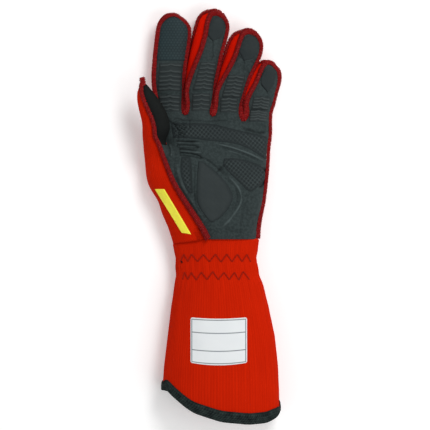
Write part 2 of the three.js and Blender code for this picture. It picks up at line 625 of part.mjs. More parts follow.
// A closed ring or an open bar whose section follows a path. Each stop gives the section's points.
function sweep(sections, closed) {
  const corners = [];
  const size = sections[0].length;
  const count = closed ? sections.length : sections.length - 1;
  for (let i = 0; i < count; i += 1) {
    const [near, far] = [sections[i], sections[(i + 1) % sections.length]];
    for (let k = 0; k < size; k += 1) {
      const n = (k + 1) % size;
      corners.push(near[k], far[k], far[n], near[k], far[n], near[n]);
    }
  }
  if (!closed) {
    for (let k = 2; k < size; k += 1) {
      corners.push(sections[0][0], sections[0][k - 1], sections[0][k]);
      corners.push(sections.at(-1)[0], sections.at(-1)[k], sections.at(-1)[k - 1]);
    }
  }
  return new THREE.BufferGeometry().setFromPoints(corners);
}

// The hem's binding: one tape folded over the edge, with a leaf outside and a leaf inside.
function bindingGeometry() {
  const normals = cuff.normals();
  const { thickness, leaf, edgeGap } = BINDING;
  const outer = LAYER_GAP + thickness;
  const end = edgeGap + thickness;
  const profile = [
    [LAYER_GAP, edgeGap], [-WALL - LAYER_GAP, edgeGap], [-WALL - LAYER_GAP, -leaf], [-WALL - outer, -leaf],
    [-WALL - outer, end], [outer, end], [outer, -leaf], [LAYER_GAP, -leaf],
  ];
  const sections = cuffLoops[0].map((id, j) => {
    const edge = cuff.points[id];
    const down = edge.clone().sub(cuff.points[cuffLoops[1][j]]).normalize();
    return profile.map(([out, along]) => edge.clone().addScaledVector(normals[id], out).addScaledVector(down, along));
  });
  return sweep(sections, true);
}

// A ridged bar along a path of the hand's points. trim cuts a share off its first and last step.
function seamBar(path, trim) {
  const normals = hand.normals();
  const stops = path.map((id) => {
    const lift = crotches.has(id) ? SEAM.crotchLift : 0;
    return { p: hand.points[id].clone().addScaledVector(normals[id], lift), n: normals[id].clone() };
  });
  const cut = (end, next, share) => {
    end.p.lerp(next.p, share);
    end.n.lerp(next.n, share).normalize();
  };
  cut(stops[0], stops[1], trim[0]);
  cut(stops.at(-1), stops.at(-2), trim[1]);
  const { gap, foot, shoulder, shoulderHeight, height } = SEAM;
  const profile = [[-foot, gap], [foot, gap], [shoulder, shoulderHeight], [0, height], [-shoulder, shoulderHeight]];
  const sections = stops.map(({ p, n }, i) => {
    const before = stops[Math.max(0, i - 1)].p;
    const after = stops[Math.min(stops.length - 1, i + 1)].p;
    const side = after.clone().sub(before).cross(n).normalize();
    return profile.map(([across, out]) => p.clone().addScaledVector(side, across).addScaledVector(n, out));
  });
  return toSolid(sweep(sections, false));
}

const column = (loops, index) => loops.map((loop) => loop[index]);
const down = (list) => [...list].reverse();
const crotch = (f) => knuckles[SPANS * f];
const backCrotch = (f) => knuckles[2 * PALM_TOP - SPANS * f];
const crotches = new Set([1, 2, 3].flatMap((f) => [crotch(f), backCrotch(f)]));

// One long seam outlines the palm, up and over each finger and down the palm's outer side.
const palmSeam = fingers.map(({ loops, tip }, f) => {
  const first = f === 0 ? [palmLoops.at(-1)[0], crotch(0)] : [crotch(f)];
  const over = [...first, ...column(loops, 0), ...tip];
  if (f < 3) return { path: [...over, ...down(column(loops, 3)), crotch(f + 1)], trim: [f ? 0 : 0.1, 0] };
  const side = down(column(palmLoops.slice(1), PALM_TOP));
  const wrist = down(column([...handLoops, fork], TOP_COLUMNS));
  return { path: [...over, ...down(column(loops, 4)), knuckleRight, ...side, ...wrist], trim: [0, 0.08] };
});
const SEAMS = {
  seam_palm: palmSeam,
  seam_thumb: [{
    path: [
      ...column([...handLoops, fork], SEAM_COLUMN), ...column(thumbLoops.slice(1), SEAM_COLUMN),
      thumbApex, ...down(column(thumbLoops.slice(1), thumbUnderSeam)),
    ],
    trim: [0.08, 0],
  }],
};
FOURCHETTES.forEach((name, f) => {
  SEAMS[name.replace("fourchette", "seam_back")] = [
    { path: [...down(column(fingers[f].loops, 5)), backCrotch(f + 1)], trim: [0.2, 0] },
    { path: [backCrotch(f + 1), ...column(fingers[f + 1].loops, 8)], trim: [0, 0.2] },
  ];
});

function joined(solids) {
  return toGeometry(solids.reduce((whole, solid) => whole.add(solid)).asOriginal());
}

// Thin layers over the palm and the gauntlet, cut to the outlines of what is printed or sewn on.
function layer(surface, chosen, thickness) {
  return toSolid(surface.shell(chosen, LAYER_GAP, LAYER_GAP + thickness, 0));
}

const onPalm = (face) => face.panel === "palm_panel";
const padLayer = layer(hand, onPalm, PAD_THICKNESS);
const ribLayer = layer(hand, onPalm, RIB_HEIGHT);

// A set of grip ribs across a finger, joined by a thin base.
function ribSolids({ first, last, ys }) {
  const at = (y, side) => THREE.MathUtils.mapLinear(y, ys[0], ys.at(-1), first[side], last[side]);
  const band = (low, high) => [[at(low, 0), low], [at(low, 1), low], [at(high, 1), high], [at(high, 0), high]];
  const base = padLayer.intersect(prism(band(ys[0] - RIBS.rim, ys.at(-1) + RIBS.rim)));
  const bars = ys.map((y) => ribLayer.intersect(prism(band(y - RIBS.bar / 2, y + RIBS.bar / 2))));
  return [base, ...bars];
}

function roundedOutline({ left, right, bottom, top, corner }) {
  const shape = new THREE.Shape();
  shape.moveTo(left + corner, bottom);
  shape.lineTo(right - corner, bottom);
  shape.absarc(right - corner, bottom + corner, corner, -Math.PI / 2, 0);
  shape.lineTo(right, top - corner);
  shape.absarc(right - corner, top - corner, corner, 0, Math.PI / 2);
  shape.lineTo(left + corner, top);
  shape.absarc(left + corner, top - corner, corner, Math.PI / 2, Math.PI);
  shape.lineTo(left, bottom + corner);
  shape.absarc(left + corner, bottom + corner, corner, Math.PI, Math.PI * 1.5);
  return shape.getPoints(3).map((p) => [p.x, p.y]);
}

const glove = new THREE.Group();

function addMesh(name, geometry, finish) {
  const material = new THREE.MeshStandardMaterial({ ...COLOURS[finish], metalness: 0 });
  const mesh = new THREE.Mesh(geometry, material);
  mesh.name = name;
  glove.add(mesh);
}

const panelShell = (name) => hand.shell((face) => face.panel === name, -WALL, 0, PANEL_GAP / 2);
addMesh("palm_panel", panelShell("palm_panel"), "palm_suede");
addMesh("thumb_panel", panelShell("thumb_panel"), "palm_suede");
addMesh("back_panel", panelShell("back_panel"), "red_knit");
FOURCHETTES.forEach((name) => addMesh(name, panelShell(name), "red_knit"));
Object.entries(SEAMS).forEach(([name, bars]) => {
  addMesh(name, joined(bars.map(({ path, trim }) => seamBar(path, trim))), "seam_thread");
});
addMesh("cuff", cuff.shell(() => true, -WALL, 0, 0), "red_knit");
addMesh("cuff_binding", bindingGeometry(), "binding_tape");
Object.entries(PALM_PADS).forEach(([name, outline]) => {
  addMesh(name, toGeometry(padLayer.intersect(prism(outline))), "pad_print");
});
Object.entries(RIB_PADS).forEach(([name, pad]) => addMesh(name, joined(ribSolids(pad)), "pad_print"));
const cuffLayer = layer(cuff, () => true, LABEL_THICKNESS);
addMesh("cuff_label", toGeometry(cuffLayer.intersect(prism(roundedOutline(CUFF_LABEL)))), "white_label");
const backLayer = layer(hand, (face) => face.panel === "back_panel", LABEL_THICKNESS);
addMesh("thumb_label", toGeometry(backLayer.intersect(prism(THUMB_LABEL))), "yellow_label");

// The part's origin is the middle of the rectangle that it covers, on the surface it lies on.
const box = new THREE.Box3().setFromObject(glove);
const centre = box.getCenter(new THREE.Vector3());
glove.position.set(-centre.x, -centre.y, -box.min.z);

const part = new THREE.Group();
part.add(glove);
export default part;
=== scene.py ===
import math

import bpy
import numpy as np
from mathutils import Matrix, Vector
from mathutils.bvhtree import BVHTree
from mathutils.kdtree import KDTree


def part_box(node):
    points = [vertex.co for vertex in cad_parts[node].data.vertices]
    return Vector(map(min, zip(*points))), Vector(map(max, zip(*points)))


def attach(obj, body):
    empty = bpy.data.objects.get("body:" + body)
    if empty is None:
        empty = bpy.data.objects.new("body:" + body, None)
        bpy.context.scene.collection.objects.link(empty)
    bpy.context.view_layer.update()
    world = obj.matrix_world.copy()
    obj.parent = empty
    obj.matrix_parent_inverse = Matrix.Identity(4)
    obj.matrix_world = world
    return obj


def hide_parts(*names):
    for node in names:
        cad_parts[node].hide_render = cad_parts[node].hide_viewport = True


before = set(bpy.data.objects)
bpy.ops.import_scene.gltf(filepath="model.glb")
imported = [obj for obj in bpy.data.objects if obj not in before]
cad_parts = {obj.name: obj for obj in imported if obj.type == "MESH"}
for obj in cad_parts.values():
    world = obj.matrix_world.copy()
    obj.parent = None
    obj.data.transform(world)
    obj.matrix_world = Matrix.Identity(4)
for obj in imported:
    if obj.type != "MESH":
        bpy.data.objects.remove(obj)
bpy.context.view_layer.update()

# A left-hand racing glove with a long gauntlet, on its back with the palm up. The hand is one
# smooth surface cut into its sewn panels, with outside seams, printed grip and labels laid on it.
# The modelling is in millimetres: +X to the little finger, +Y to the fingertips, +Z up.

random = np.random.default_rng(7)
LABEL_CENTRE = (8.1, -101.8)
label_low, label_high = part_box("cuff_label")
# From the modelling to the part's own frame: the white label's centre is known in both.
SHIFT = np.array([(label_low[k] + label_high[k]) * 500 - LABEL_CENTRE[k] for k in (0, 1)] + [0])
WALL = 1.6
# Heights from which rays are cast down and up at the glove, and the way up.
ABOVE, BELOW = 70, -20
UP = Vector((0, 0, 1))


# ---- The hand's sections -------------------------------------------------------------------

def table(columns, rows):
    return [dict(zip(columns.split(), row)) for row in rows]


# left and right are the sides, seam is where the thumb's seam crosses and web the line from the
# thumb's crotch, top is the palm's height and mid that of the sides. drop lowers the left end.
HAND_ROWS = table("y left seam web right top mid drop", [
    (-18.4, -29.8, -0.8, 6.5, 39.6, 28, 13, 3.8),
    (-9, -33.6, -5.6, 1.5, 40.2, 29, 13, 0),
    (2.5, -38.6, -13, -6, 42.3, 30, 13, 0),
    (14.2, -43.1, -20.6, -13.5, 44.8, 30.5, 13, 0),
    (26.8, -50.6, -28.2, -21, 46.4, 31, 13, 0),
    (39, -52.8, -33.6, -27, 47.6, 30.5, 12.5, 0),
    (50.6, -53.8, -38, -32.8, 48.3, 29, 12, 0),
])
FORK = dict(
    y=60.0, left=-54.8, seam=-41.4, under_seam=-48.0, right=49.0, top=27.0, mid=11.5,
    thumb_top=28.5, thumb_mid=17.0, thumb_bottom=6.5,
)
WEB_TOP, WEB_MIDDLE, WEB_BOTTOM = (-35.0, 18.0), (-38.5, 12.0), (-42.0, 6.0)
WEB_REACH, FORK_EDGE, FORK_DROP = 14, 1.6, 4
PALM_ROWS = table("y left right top mid", [(67.4, -41.0, 50.0, 25.0, 9.5), (74.0, -41.8, 50.2, 22.5, 9.0)])
KNUCKLES = [(-40.4, 80.0), (-19.8, 85.2), (2.9, 84.0), (28.6, 80.4), (48.2, 77.6)]
WEB_HEIGHTS = dict(top=15.5, mid=9.8, bottom=4.6)
# The knuckle line: how high it rises between the crotches, how low its underside lies there and how
# far back that is, and how far its sides reach out past the corners.
CREST, UNDER_CREST, UNDER_BACK, CORNER_LEFT, CORNER_RIGHT = 3.2, 0.6, 3, 2.1, 1.9
# Broad dents of the palm: below the thumb's crotch, at the little finger's heel, in the middle and
# along the ball of the thumb.
DENTS = table("x y across along depth", [
    (-16, 55, 13, 7, 1.6), (45, 33, 6, 9, 1.4), (9, 40, 8, 8, 0.8), (-24, 36, 6, 12, 1),
    (-16, 14, 6, 10, 1), (38, 71, 9, 6, 1),
])

# Sections of the fingers: centre, size, and the angles of the four seams round them.
FINGER_COLUMNS = "x y z width height fl fr br bl"
FINGERS = [
    (table(FINGER_COLUMNS, [
        (-32.6, 91, 9.2, 22, 16, 147, 15, -38, -150),
        (-33.8, 101.3, 9, 24.4, 16, 146, 10, -38, -150),
        (-34.5, 113.7, 9, 26.4, 15.6, 146, 12, -38, -150),
        (-33.7, 126.2, 9.2, 27, 15.2, 146, 13, -38, -150),
        (-32.2, 138.6, 9.7, 27.4, 14.8, 147, 12, -38, -150),
        (-30.5, 150.2, 10.5, 27.6, 13.6, 149, 12, -36, -150),
        (-29.5, 158.4, 11.3, 25.4, 11.4, 152, 12, -34, -152),
        (-28.8, 163.8, 12, 18, 7, 156, 16, -30, -154),
    ]), (-27.8, 167.0, 12.6, 9.0)),
    (table(FINGER_COLUMNS, [
        (-8.1, 93, 9.2, 22.2, 16.4, 145, 17, -44, -156),
        (-8.1, 103.8, 9.2, 24.6, 16.4, 144, 12, -48, -156),
        (-7.4, 113.7, 9.4, 25.2, 16.2, 132, 12, -50, -156),
        (-5, 126.2, 9.8, 25.4, 15.8, 119, 12, -50, -158),
        (-2.5, 138.6, 10.4, 25.2, 15.2, 108, 12, -50, -162),
        (0.8, 150.2, 11.4, 25.2, 14, 108, 12, -50, -170),
        (3.4, 160.6, 12.4, 24.4, 11.4, 112, 14, -46, -176),
        (5.2, 166.8, 13.1, 18.4, 7, 126, 18, -40, -172),
    ]), (6.2, 170.4, 13.5, 9.0)),
    (table(FINGER_COLUMNS, [
        (15.5, 91.6, 9.2, 22.4, 16.2, 147, 20, -44, -156),
        (16.6, 101.3, 9.2, 24.2, 16, 144, 18, -48, -158),
        (18.7, 109.8, 9.5, 25, 15.8, 132, 18, -50, -162),
        (22.2, 120.4, 10, 25.2, 15.4, 119, 20, -50, -168),
        (26.4, 130.3, 10.7, 26.4, 14.8, 115, 22, -50, -174),
        (29.2, 138.6, 11.5, 26.8, 13.8, 114, 12, -50, -178),
        (31.5, 146.2, 12.5, 24.2, 11.2, 116, 14, -46, -180),
        (32.4, 151.4, 13.1, 17.6, 7, 128, 18, -40, -172),
    ]), (32.6, 154.6, 13.5, 9.0)),
    (table(FINGER_COLUMNS, [
        (39.7, 86.4, 8.8, 21.4, 15.4, 138, 26, -30, -148),
        (39.6, 93.8, 8.8, 25.8, 15.2, 130, 20, -30, -148),
        (40.9, 100.9, 9, 26.4, 14.8, 121, 18, -30, -150),
        (43.7, 109.4, 9.6, 25.2, 14.2, 114, 18, -30, -152),
        (46.4, 116.2, 10.5, 23.4, 13, 115, 20, -30, -148),
        (48.6, 121.8, 11.5, 19.6, 10.4, 119, 30, -30, -150),
        (50.2, 125.2, 12.1, 14, 6.4, 130, 30, -30, -156),
    ]), (51.4, 127.4, 12.5, 8.0)),
]
THUMB_ROWS = table("x y z width height seam under", [
    (-44.9, 66.6, 23, 20.6, 17.6, 88, -96),
    (-43.9, 74, 26, 22.8, 17, 97, -104),
    (-44.6, 81.4, 27.6, 22.6, 16.4, 103, -108),
    (-47.2, 89, 28.6, 21.6, 15.4, 108, -110),
    (-50.2, 96.5, 29.2, 18.6, 13.8, 112, -112),
    (-52.8, 103.2, 29.4, 13.4, 10.8, 116, -116),
    (-54, 108.4, 29.4, 7.4, 6.4, 120, -120),
])
THUMB_TIP = (-54.4, 111.6, 29.4)
THUMB_SEAM_END = [(-54.0, 108.6, 32.6), (-54.7, 112.2, 31.6), (-55.6, 115.6, 30.8)]

TOP_COLUMNS, SEAM_COLUMN, WEB_COLUMN, LAST_COLUMN = 18, 3, 5, 17
PALM_TOP, SPANS = 13, 3
# How square the ovals are: the palm, its left side above the fork, the fingers and the thumb.
PALM_POWER, PALM_LEFT_POWER, FINGER_POWER, THUMB_POWER = 2.4, 1.6, 2.3, 2.1
UNDER_POWER, UNDER_FLAT = 4, 1.12
# How far the palm's seam lies inside each fingertip's end, as a share of its last section, and how
# far above the crotches. Over the tips the back's seams run beside it.
TIP_INSETS, CROTCH_RISE = (0.0, 0.45, 0.42, 0.15), 1.3
EDGE_SHARE = 0.94
PALM, THUMB, BACK, FOURCHETTE = 0, 1, 2, 3
BETWEEN = ("index_middle", "middle_ring", "ring_little")


def oval_rise(u, power):
    """The height of a half oval, from 1 in the middle to 0 where u is -1 or 1."""
    return max(0, 1 - abs(u) ** power) ** (1 / power)


def oval_point(angle, a, b, power):
    """The point of an oval with half sizes a and b in the direction of an angle."""
    c, s = math.cos(math.radians(angle)), math.sin(math.radians(angle))
    grow = (abs(c) ** power + abs(s) ** power) ** (-1 / power)
    return a * c * grow, b * s * grow


def bottom_rise(u, mid):
    """The underside's height: flat on the table in the middle, rounded up at the sides."""
    return mid * max(0, 1 - UNDER_FLAT * oval_rise(u, UNDER_POWER))


def mix(a, b, share):
    return a + (b - a) * share


def spread(*anchors):
    """Values at whole numbers, on straight lines between (number, value) anchors."""
    numbers = np.arange(anchors[-1][0] + 1)
    return np.interp(numbers, *zip(*anchors)).tolist()


class Cage:
    """Points shared by quads. Each quad lies on one sewn panel."""

    def __init__(self):
        self.points, self.around, self.faces, self.panels = [], [], [], []

    def add(self, x, y, z, around=None):
        self.points.append((x, y, z))
        self.around.append(x if around is None else around)
        return len(self.points) - 1

    def loop(self, points):
        """Adds a section, with the length of cloth round it from its lowest point."""
        ring = np.array(points)
        count = len(ring)
        start = int(np.argmin(ring[:, 2] * 3 + abs(ring[:, 0] - ring[:, 0].mean())))
        ring = np.roll(ring, -start, axis=0)
        steps = np.linalg.norm(np.roll(ring, -1, axis=0) - ring, axis=1)
        ahead = np.concatenate([[0], np.cumsum(steps)[:-1]])
        behind = steps.sum() - ahead
        around = np.roll(ring[0, 0] + np.where(ahead < behind, -ahead, behind), start)
        return [self.add(*points[i], around[i]) for i in range(count)]

    def band(self, lower, upper, panel_of):
        for i, a in enumerate(lower):
            j = (i + 1) % len(lower)
            ids = list(dict.fromkeys([a, lower[j], upper[j], upper[i]]))
            if len(ids) > 2:
                self.faces.append(ids)
                self.panels.append(panel_of(i))


def dent_at(x, y):
    """How deep the palm is dented at a spot."""
    far = lambda d: ((x - d["x"]) / d["across"]) ** 2 + ((y - d["y"]) / d["along"]) ** 2
    return sum(d["depth"] * math.exp(-far(d)) for d in DENTS)


def middle_of(r):
    return (r["left"] + r["right"]) / 2, (r["right"] - r["left"]) / 2


def palm_height(r, x, power=PALM_POWER):
    centre, half = middle_of(r)
    return r["mid"] + (r["top"] - r["mid"]) * oval_rise((x - centre) / half, power) - dent_at(x, r["y"])


def section(xs, y_of, top_of, bottom_of, right, left):
    """A section's points: over the palm from left to right, down, and back along the underside."""
    top = [(x, y_of(x), top_of(x)) for x in xs]
    bottom = [(x, y_of(x), bottom_of(x)) for x in xs]
    return [*top, right, *bottom[::-1], left]


def hand_section(r):
    centre, half = middle_of(r)
    xs = spread(
        (0, centre - EDGE_SHARE * half), (SEAM_COLUMN, r["seam"]), (WEB_COLUMN, r["web"]),
        (LAST_COLUMN, centre + EDGE_SHARE * half),
    )
    y_of = lambda x: r["y"] - r["drop"] * max(0, r["seam"] - x) / (r["seam"] - r["left"])
    return section(
        xs, y_of, lambda x: palm_height(r, x), lambda x: bottom_rise((x - centre) / half, r["mid"]),
        (r["right"], r["y"], r["mid"]), (r["left"], y_of(r["left"]), r["mid"]),
    )


def fork_section():
    """The row where the thumb leaves the hand, with the web between them."""
    f = FORK
    centre, half = middle_of(f)

    def columns(seam, web):
        return spread(
            (0, f["left"] + FORK_EDGE), (SEAM_COLUMN, seam), (WEB_COLUMN, web[0]),
            (LAST_COLUMN, centre + EDGE_SHARE * half),
        )

    def thumb_rise(x, web):
        return oval_rise((2 * x - f["left"] - web[0]) / (web[0] - f["left"]), THUMB_POWER)

    def top_of(x):
        if x < WEB_TOP[0]:
            return mix(WEB_TOP[1], f["thumb_top"], thumb_rise(x, WEB_TOP))
        share = min(1, (x - WEB_TOP[0]) / WEB_REACH)
        return mix(WEB_TOP[1], palm_height(f, x), math.sin(share * math.pi / 2))

    def bottom_of(x):
        if x < WEB_BOTTOM[0]:
            return f["thumb_bottom"] + FORK_DROP * (1 - thumb_rise(x, WEB_BOTTOM))
        share = min(1, (x - WEB_BOTTOM[0]) / WEB_REACH)
        return WEB_BOTTOM[1] * (1 - share) + bottom_rise((x - centre) / half, f["mid"]) / 2

    top = [(x, f["y"], top_of(x)) for x in columns(f["seam"], WEB_TOP)]
    bottom = [(x, f["y"], bottom_of(x)) for x in columns(f["under_seam"], WEB_BOTTOM)]
    return [*top, (f["right"], f["y"], f["mid"]), *bottom[::-1], (f["left"], f["y"], f["thumb_mid"])]


def palm_section(r, i):
    centre, half = middle_of(r)
    last = PALM_TOP - 1
    even = spread((0, centre - EDGE_SHARE * half), (last, centre + EDGE_SHARE * half))
    over = spread(*((SPANS * n, k[0]) for n, k in enumerate(KNUCKLES)))
    towards = (i + 1) / (len(PALM_ROWS) + 1)
    xs = [x if c in (0, last) else mix(x, over[c], towards) for c, x in enumerate(even)]
    return section(
        xs, lambda x: r["y"],
        lambda x: palm_height(r, x, PALM_LEFT_POWER if x < centre else PALM_POWER),
        lambda x: bottom_rise((x - centre) / half, r["mid"]),
        (r["right"], r["y"], r["mid"]), (r["left"], r["y"], r["mid"]),
    )


def knuckle_section():
    """The row from which the fingers leave the hand."""
    xs, ys = (spread(*((SPANS * n, k[axis]) for n, k in enumerate(KNUCKLES))) for axis in (0, 1))
    high, mid, low = (WEB_HEIGHTS[key] for key in ("top", "mid", "bottom"))
    crest = [0 if c % SPANS == 0 else CREST for c in range(PALM_TOP)]
    top = [(x, y, high + c) for x, y, c in zip(xs, ys, crest)]
    bottom = [(x, y - UNDER_BACK, UNDER_CREST if c else low) for x, y, c in zip(xs, ys, crest)]
    right, left = (xs[-1] + CORNER_RIGHT, ys[-1], mid), (xs[0] - CORNER_LEFT, ys[0], mid)
    return [*top, right, *bottom[::-1], left]


def thumb_section(r, size):
    under = size - 2 - SEAM_COLUMN
    angles = spread(
        (0, 168), (SEAM_COLUMN, r["seam"]), (WEB_COLUMN + 1, 0), (under, r["under"]), (size - 2, -168),
    )
    half = r["width"] / 2, r["height"] / 2
    round_thumb = [oval_point(angle, *half, THUMB_POWER) for angle in [*angles, -180]]
    return [(r["x"] + x, r["y"], r["z"] + z) for x, z in round_thumb]


def finger_sections(rows, tip):
    """Four points over the palm side, one on each side, four along the back, and the tip's four."""
    stops = [(r["x"], r["y"]) for r in rows] + [tip[:2]]
    found = []
    for i, r in enumerate(rows):
        dx, dy = np.subtract(stops[i + 1], stops[max(0, i - 1)])
        dx, dy = dx / math.hypot(dx, dy), dy / math.hypot(dx, dy)
        angles = spread((0, r["fl"]), (3, r["fr"]), (5, r["br"]), (8, r["bl"]), (10, r["fl"] - 360))[:10]
        ovals = [oval_point(angle, r["width"] / 2, r["height"] / 2, FINGER_POWER) for angle in angles]
        found.append([(r["x"] + across * dy, r["y"] - across * dx, r["z"] + up) for across, up in ovals])
    dx, dy = np.subtract(stops[-1], stops[-2])
    dx, dy = dx / math.hypot(dx, dy), dy / math.hypot(dx, dy)
    ends = [(share * tip[3], back) for share, back in ((-0.5, 1.5), (-0.2, 0), (0.2, 0), (0.5, 1.5))]
    return found, [(tip[0] + a * dy - b * dx, tip[1] - a * dx - b * dy, tip[2]) for a, b in ends]


def column(loops, index):
    """The points with the same number in each section."""
    return [loop[index] for loop in loops]


def build_hand():
    """The hand's cage, the lines of its seams, and those of the thread that fills the crotches."""
    cage = Cage()
    hand = [cage.loop(hand_section(r)) for r in HAND_ROWS]
    fork = cage.loop(fork_section())
    size = len(fork)
    web = cage.add(WEB_MIDDLE[0], FORK["y"], WEB_MIDDLE[1])
    hand_panel = lambda i: PALM if SEAM_COLUMN <= i <= LAST_COLUMN else BACK
    for lower, upper in zip(hand, [*hand[1:], fork]):
        cage.band(lower, upper, hand_panel)

    under_fork = [fork[size - 2 - (WEB_COLUMN - i)] for i in range(WEB_COLUMN + 1)]
    thumb_fork = [*fork[:WEB_COLUMN + 1], web, *under_fork, fork[-1]]
    under = len(thumb_fork) - 2 - SEAM_COLUMN
    thumb = [thumb_fork] + [cage.loop(thumb_section(r, len(thumb_fork))) for r in THUMB_ROWS]
    apex = cage.add(*THUMB_TIP)
    thumb_panel = lambda i: THUMB if SEAM_COLUMN <= i < under else BACK
    for lower, upper in zip(thumb, [*thumb[1:], [apex] * len(thumb_fork)]):
        cage.band(lower, upper, thumb_panel)

    palm_fork = [*fork[WEB_COLUMN:size - 1 - WEB_COLUMN], web]
    palm = [palm_fork] + [cage.loop(palm_section(r, i)) for i, r in enumerate(PALM_ROWS)]
    knuckles = cage.loop(knuckle_section())
    palm_panel = lambda i: PALM if i <= PALM_TOP - 1 else BACK
    for lower, upper in zip(palm, [*palm[1:], knuckles]):
        cage.band(lower, upper, palm_panel)
    middles = [cage.add(x, y - UNDER_BACK / 2, WEB_HEIGHTS["mid"]) for x, y in KNUCKLES[1:4]]
    right, left = knuckles[PALM_TOP], knuckles[2 * PALM_TOP + 1]

    fingers = []
    for f, (rows, tip) in enumerate(FINGERS):
        sections, ends = finger_sections(rows, tip)
        loops = [cage.loop(s) for s in sections]
        tips = [cage.add(*p) for p in ends]
        back = [knuckles[2 * PALM_TOP - SPANS * (f + 1) + i] for i in range(SPANS + 1)]
        root = [
            *knuckles[SPANS * f:SPANS * f + SPANS + 1], right if f == 3 else middles[f],
            *back, left if f == 0 else middles[f - 1],
        ]
        beside = [PALM, BACK] if f == 3 else [FOURCHETTE + f] * 2
        before = [BACK] * 2 if f == 0 else [FOURCHETTE + f - 1] * 2
        panels = [PALM] * 3 + beside + [BACK] * 3 + before
        for lower, upper in zip([root, *loops], loops):
            cage.band(lower, upper, lambda i: panels[i])
        a, b, c, d = tips
        cage.band(loops[-1], [a, b, c, d, d, d, c, b, a, a], lambda i: panels[i])
        fingers.append((loops, tips))

    at = lambda ids: [np.array(cage.points[i]) for i in ids]
    outline = at([palm[-1][0]])
    for f, (loops, tips) in enumerate(fingers):
        side = 4 if f == 3 else 3
        crotch = at([knuckles[SPANS * f]])[0] + (np.array([0, CROTCH_RISE, 0]) if f else 0)
        middle = np.mean(at(loops[-1][:4]), axis=0)
        inset = lambda ids, share: [mix(p, middle, share) for p in at(ids)]
        first, *rest = column(loops, side)[::-1]
        outline += [crotch, *at(column(loops, 0)[:-1]), *inset([loops[-1][0]], TIP_INSETS[f] / 2)]
        outline += [*inset(tips, TIP_INSETS[f]), *inset([first], TIP_INSETS[f] / 2), *at(rest)]
    outline += at([right, *column(palm[1:], PALM_TOP)[::-1], *column([*hand, fork], TOP_COLUMNS)[::-1]])
    seams = {
        "seam_palm": outline,
        "seam_thumb": at(
            column([*hand, fork], SEAM_COLUMN) + column(thumb[1:], SEAM_COLUMN) + [apex]
            + column(thumb[1:], under)[::-1]
        ),
    }
    fills = {}
    for f, name in enumerate(BETWEEN):
        crotch = knuckles[2 * PALM_TOP - SPANS * (f + 1)]
        before, beyond = fingers[f], fingers[f + 1]
        path = [before[1][3], *column(before[0], 5)[::-1], crotch, *column(beyond[0], 8), *beyond[1]]
        seams["seam_back_" + name] = at(path)
        legs = [at([before[0][k][3], beyond[0][k][0]]) for k in (0, 1)]
        middles = [np.mean(leg, axis=0) for leg in legs]
        low = at([knuckles[SPANS * (f + 1)]])[0] + [0, CROTCH_RISE, 0]
        fills["overlock_crotch_" + name] = [mix(low, middles[0], 0.3), middles[0], middles[1]]
    return cage, seams, fills


# ---- Smooth surfaces -----------------------------------------------------------------------

def unit(vectors):
    return vectors / np.maximum(np.linalg.norm(vectors, axis=-1, keepdims=True), 1e-9)


def refined(cage, control, level):
    """The smooth surface through a cage: points, normals, cloth coordinates, quads and panels."""
    mesh = bpy.data.meshes.new("cage")
    mesh.from_pydata(control.tolist(), [], cage.faces)
    mesh.polygons.foreach_set("material_index", cage.panels)
    corners = np.array([i for face in cage.faces for i in face])
    cloth = np.column_stack([np.array(cage.around)[corners], control[corners, 1]])
    mesh.uv_layers.new(name="cloth_mm").data.foreach_set("uv", cloth.ravel())
    obj = bpy.data.objects.new("cage", mesh)
    bpy.context.collection.objects.link(obj)
    smooth = obj.modifiers.new("smooth", "SUBSURF")
    smooth.levels = level
    smooth.use_limit_surface = True
    evaluated = obj.evaluated_get(bpy.context.evaluated_depsgraph_get())
    found = evaluated.to_mesh()
    points = np.empty(len(found.vertices) * 3)
    found.vertices.foreach_get("co", points)
    quads = np.empty(len(found.loops), dtype=int)
    found.loops.foreach_get("vertex_index", quads)
    uv = np.empty(len(found.loops) * 2)
    found.uv_layers[0].data.foreach_get("uv", uv)
    panels = np.empty(len(found.polygons), dtype=int)
    found.polygons.foreach_get("material_index", panels)
    points = points.reshape(-1, 3)
    around = np.empty((len(points), 2))
    around[quads] = uv.reshape(-1, 2)
    evaluated.to_mesh_clear()
    bpy.data.objects.remove(obj)
    bpy.data.meshes.remove(mesh)
    quads = quads.reshape(-1, 4)
    return dict(points=points, normals=normals_of(points, quads), uv=around, quads=quads, panels=panels)


def normals_of(points, quads):
    across = points[quads[:, 2]] - points[quads[:, 0]]
    along = points[quads[:, 3]] - points[quads[:, 1]]
    face = np.cross(across, along)
    total = np.zeros_like(points)
    for k in range(4):
        np.add.at(total, quads[:, k], face)
    return unit(total)


def fitted(cage):
    """Control points whose smooth surface passes through the cage's own points."""
    target = np.array(cage.points, dtype=float)
    control = target.copy()
    for _ in range(3):
        control += target - refined(cage, control, 1)["points"][:len(target)]
    return control


def cut(surface, panel):
    """One panel's points, quads and border, on their own numbers."""
    quads = surface["quads"][surface["panels"] == panel]
    used, quads = np.unique(quads, return_inverse=True)
    quads = quads.reshape(-1, 4)
    sides = {(int(q[k]), int(q[(k + 1) % 4])) for q in quads for k in range(4)}
    border = {a: b for a, b in sides if (b, a) not in sides}
    part = {key: surface[key][used] for key in ("points", "normals", "uv")}
    return dict(part, quads=quads, border=border)


def tree_of(points):
    tree = KDTree(len(points))
    for i, p in enumerate(points):
        tree.insert(p, i)
    tree.balance()
    return tree


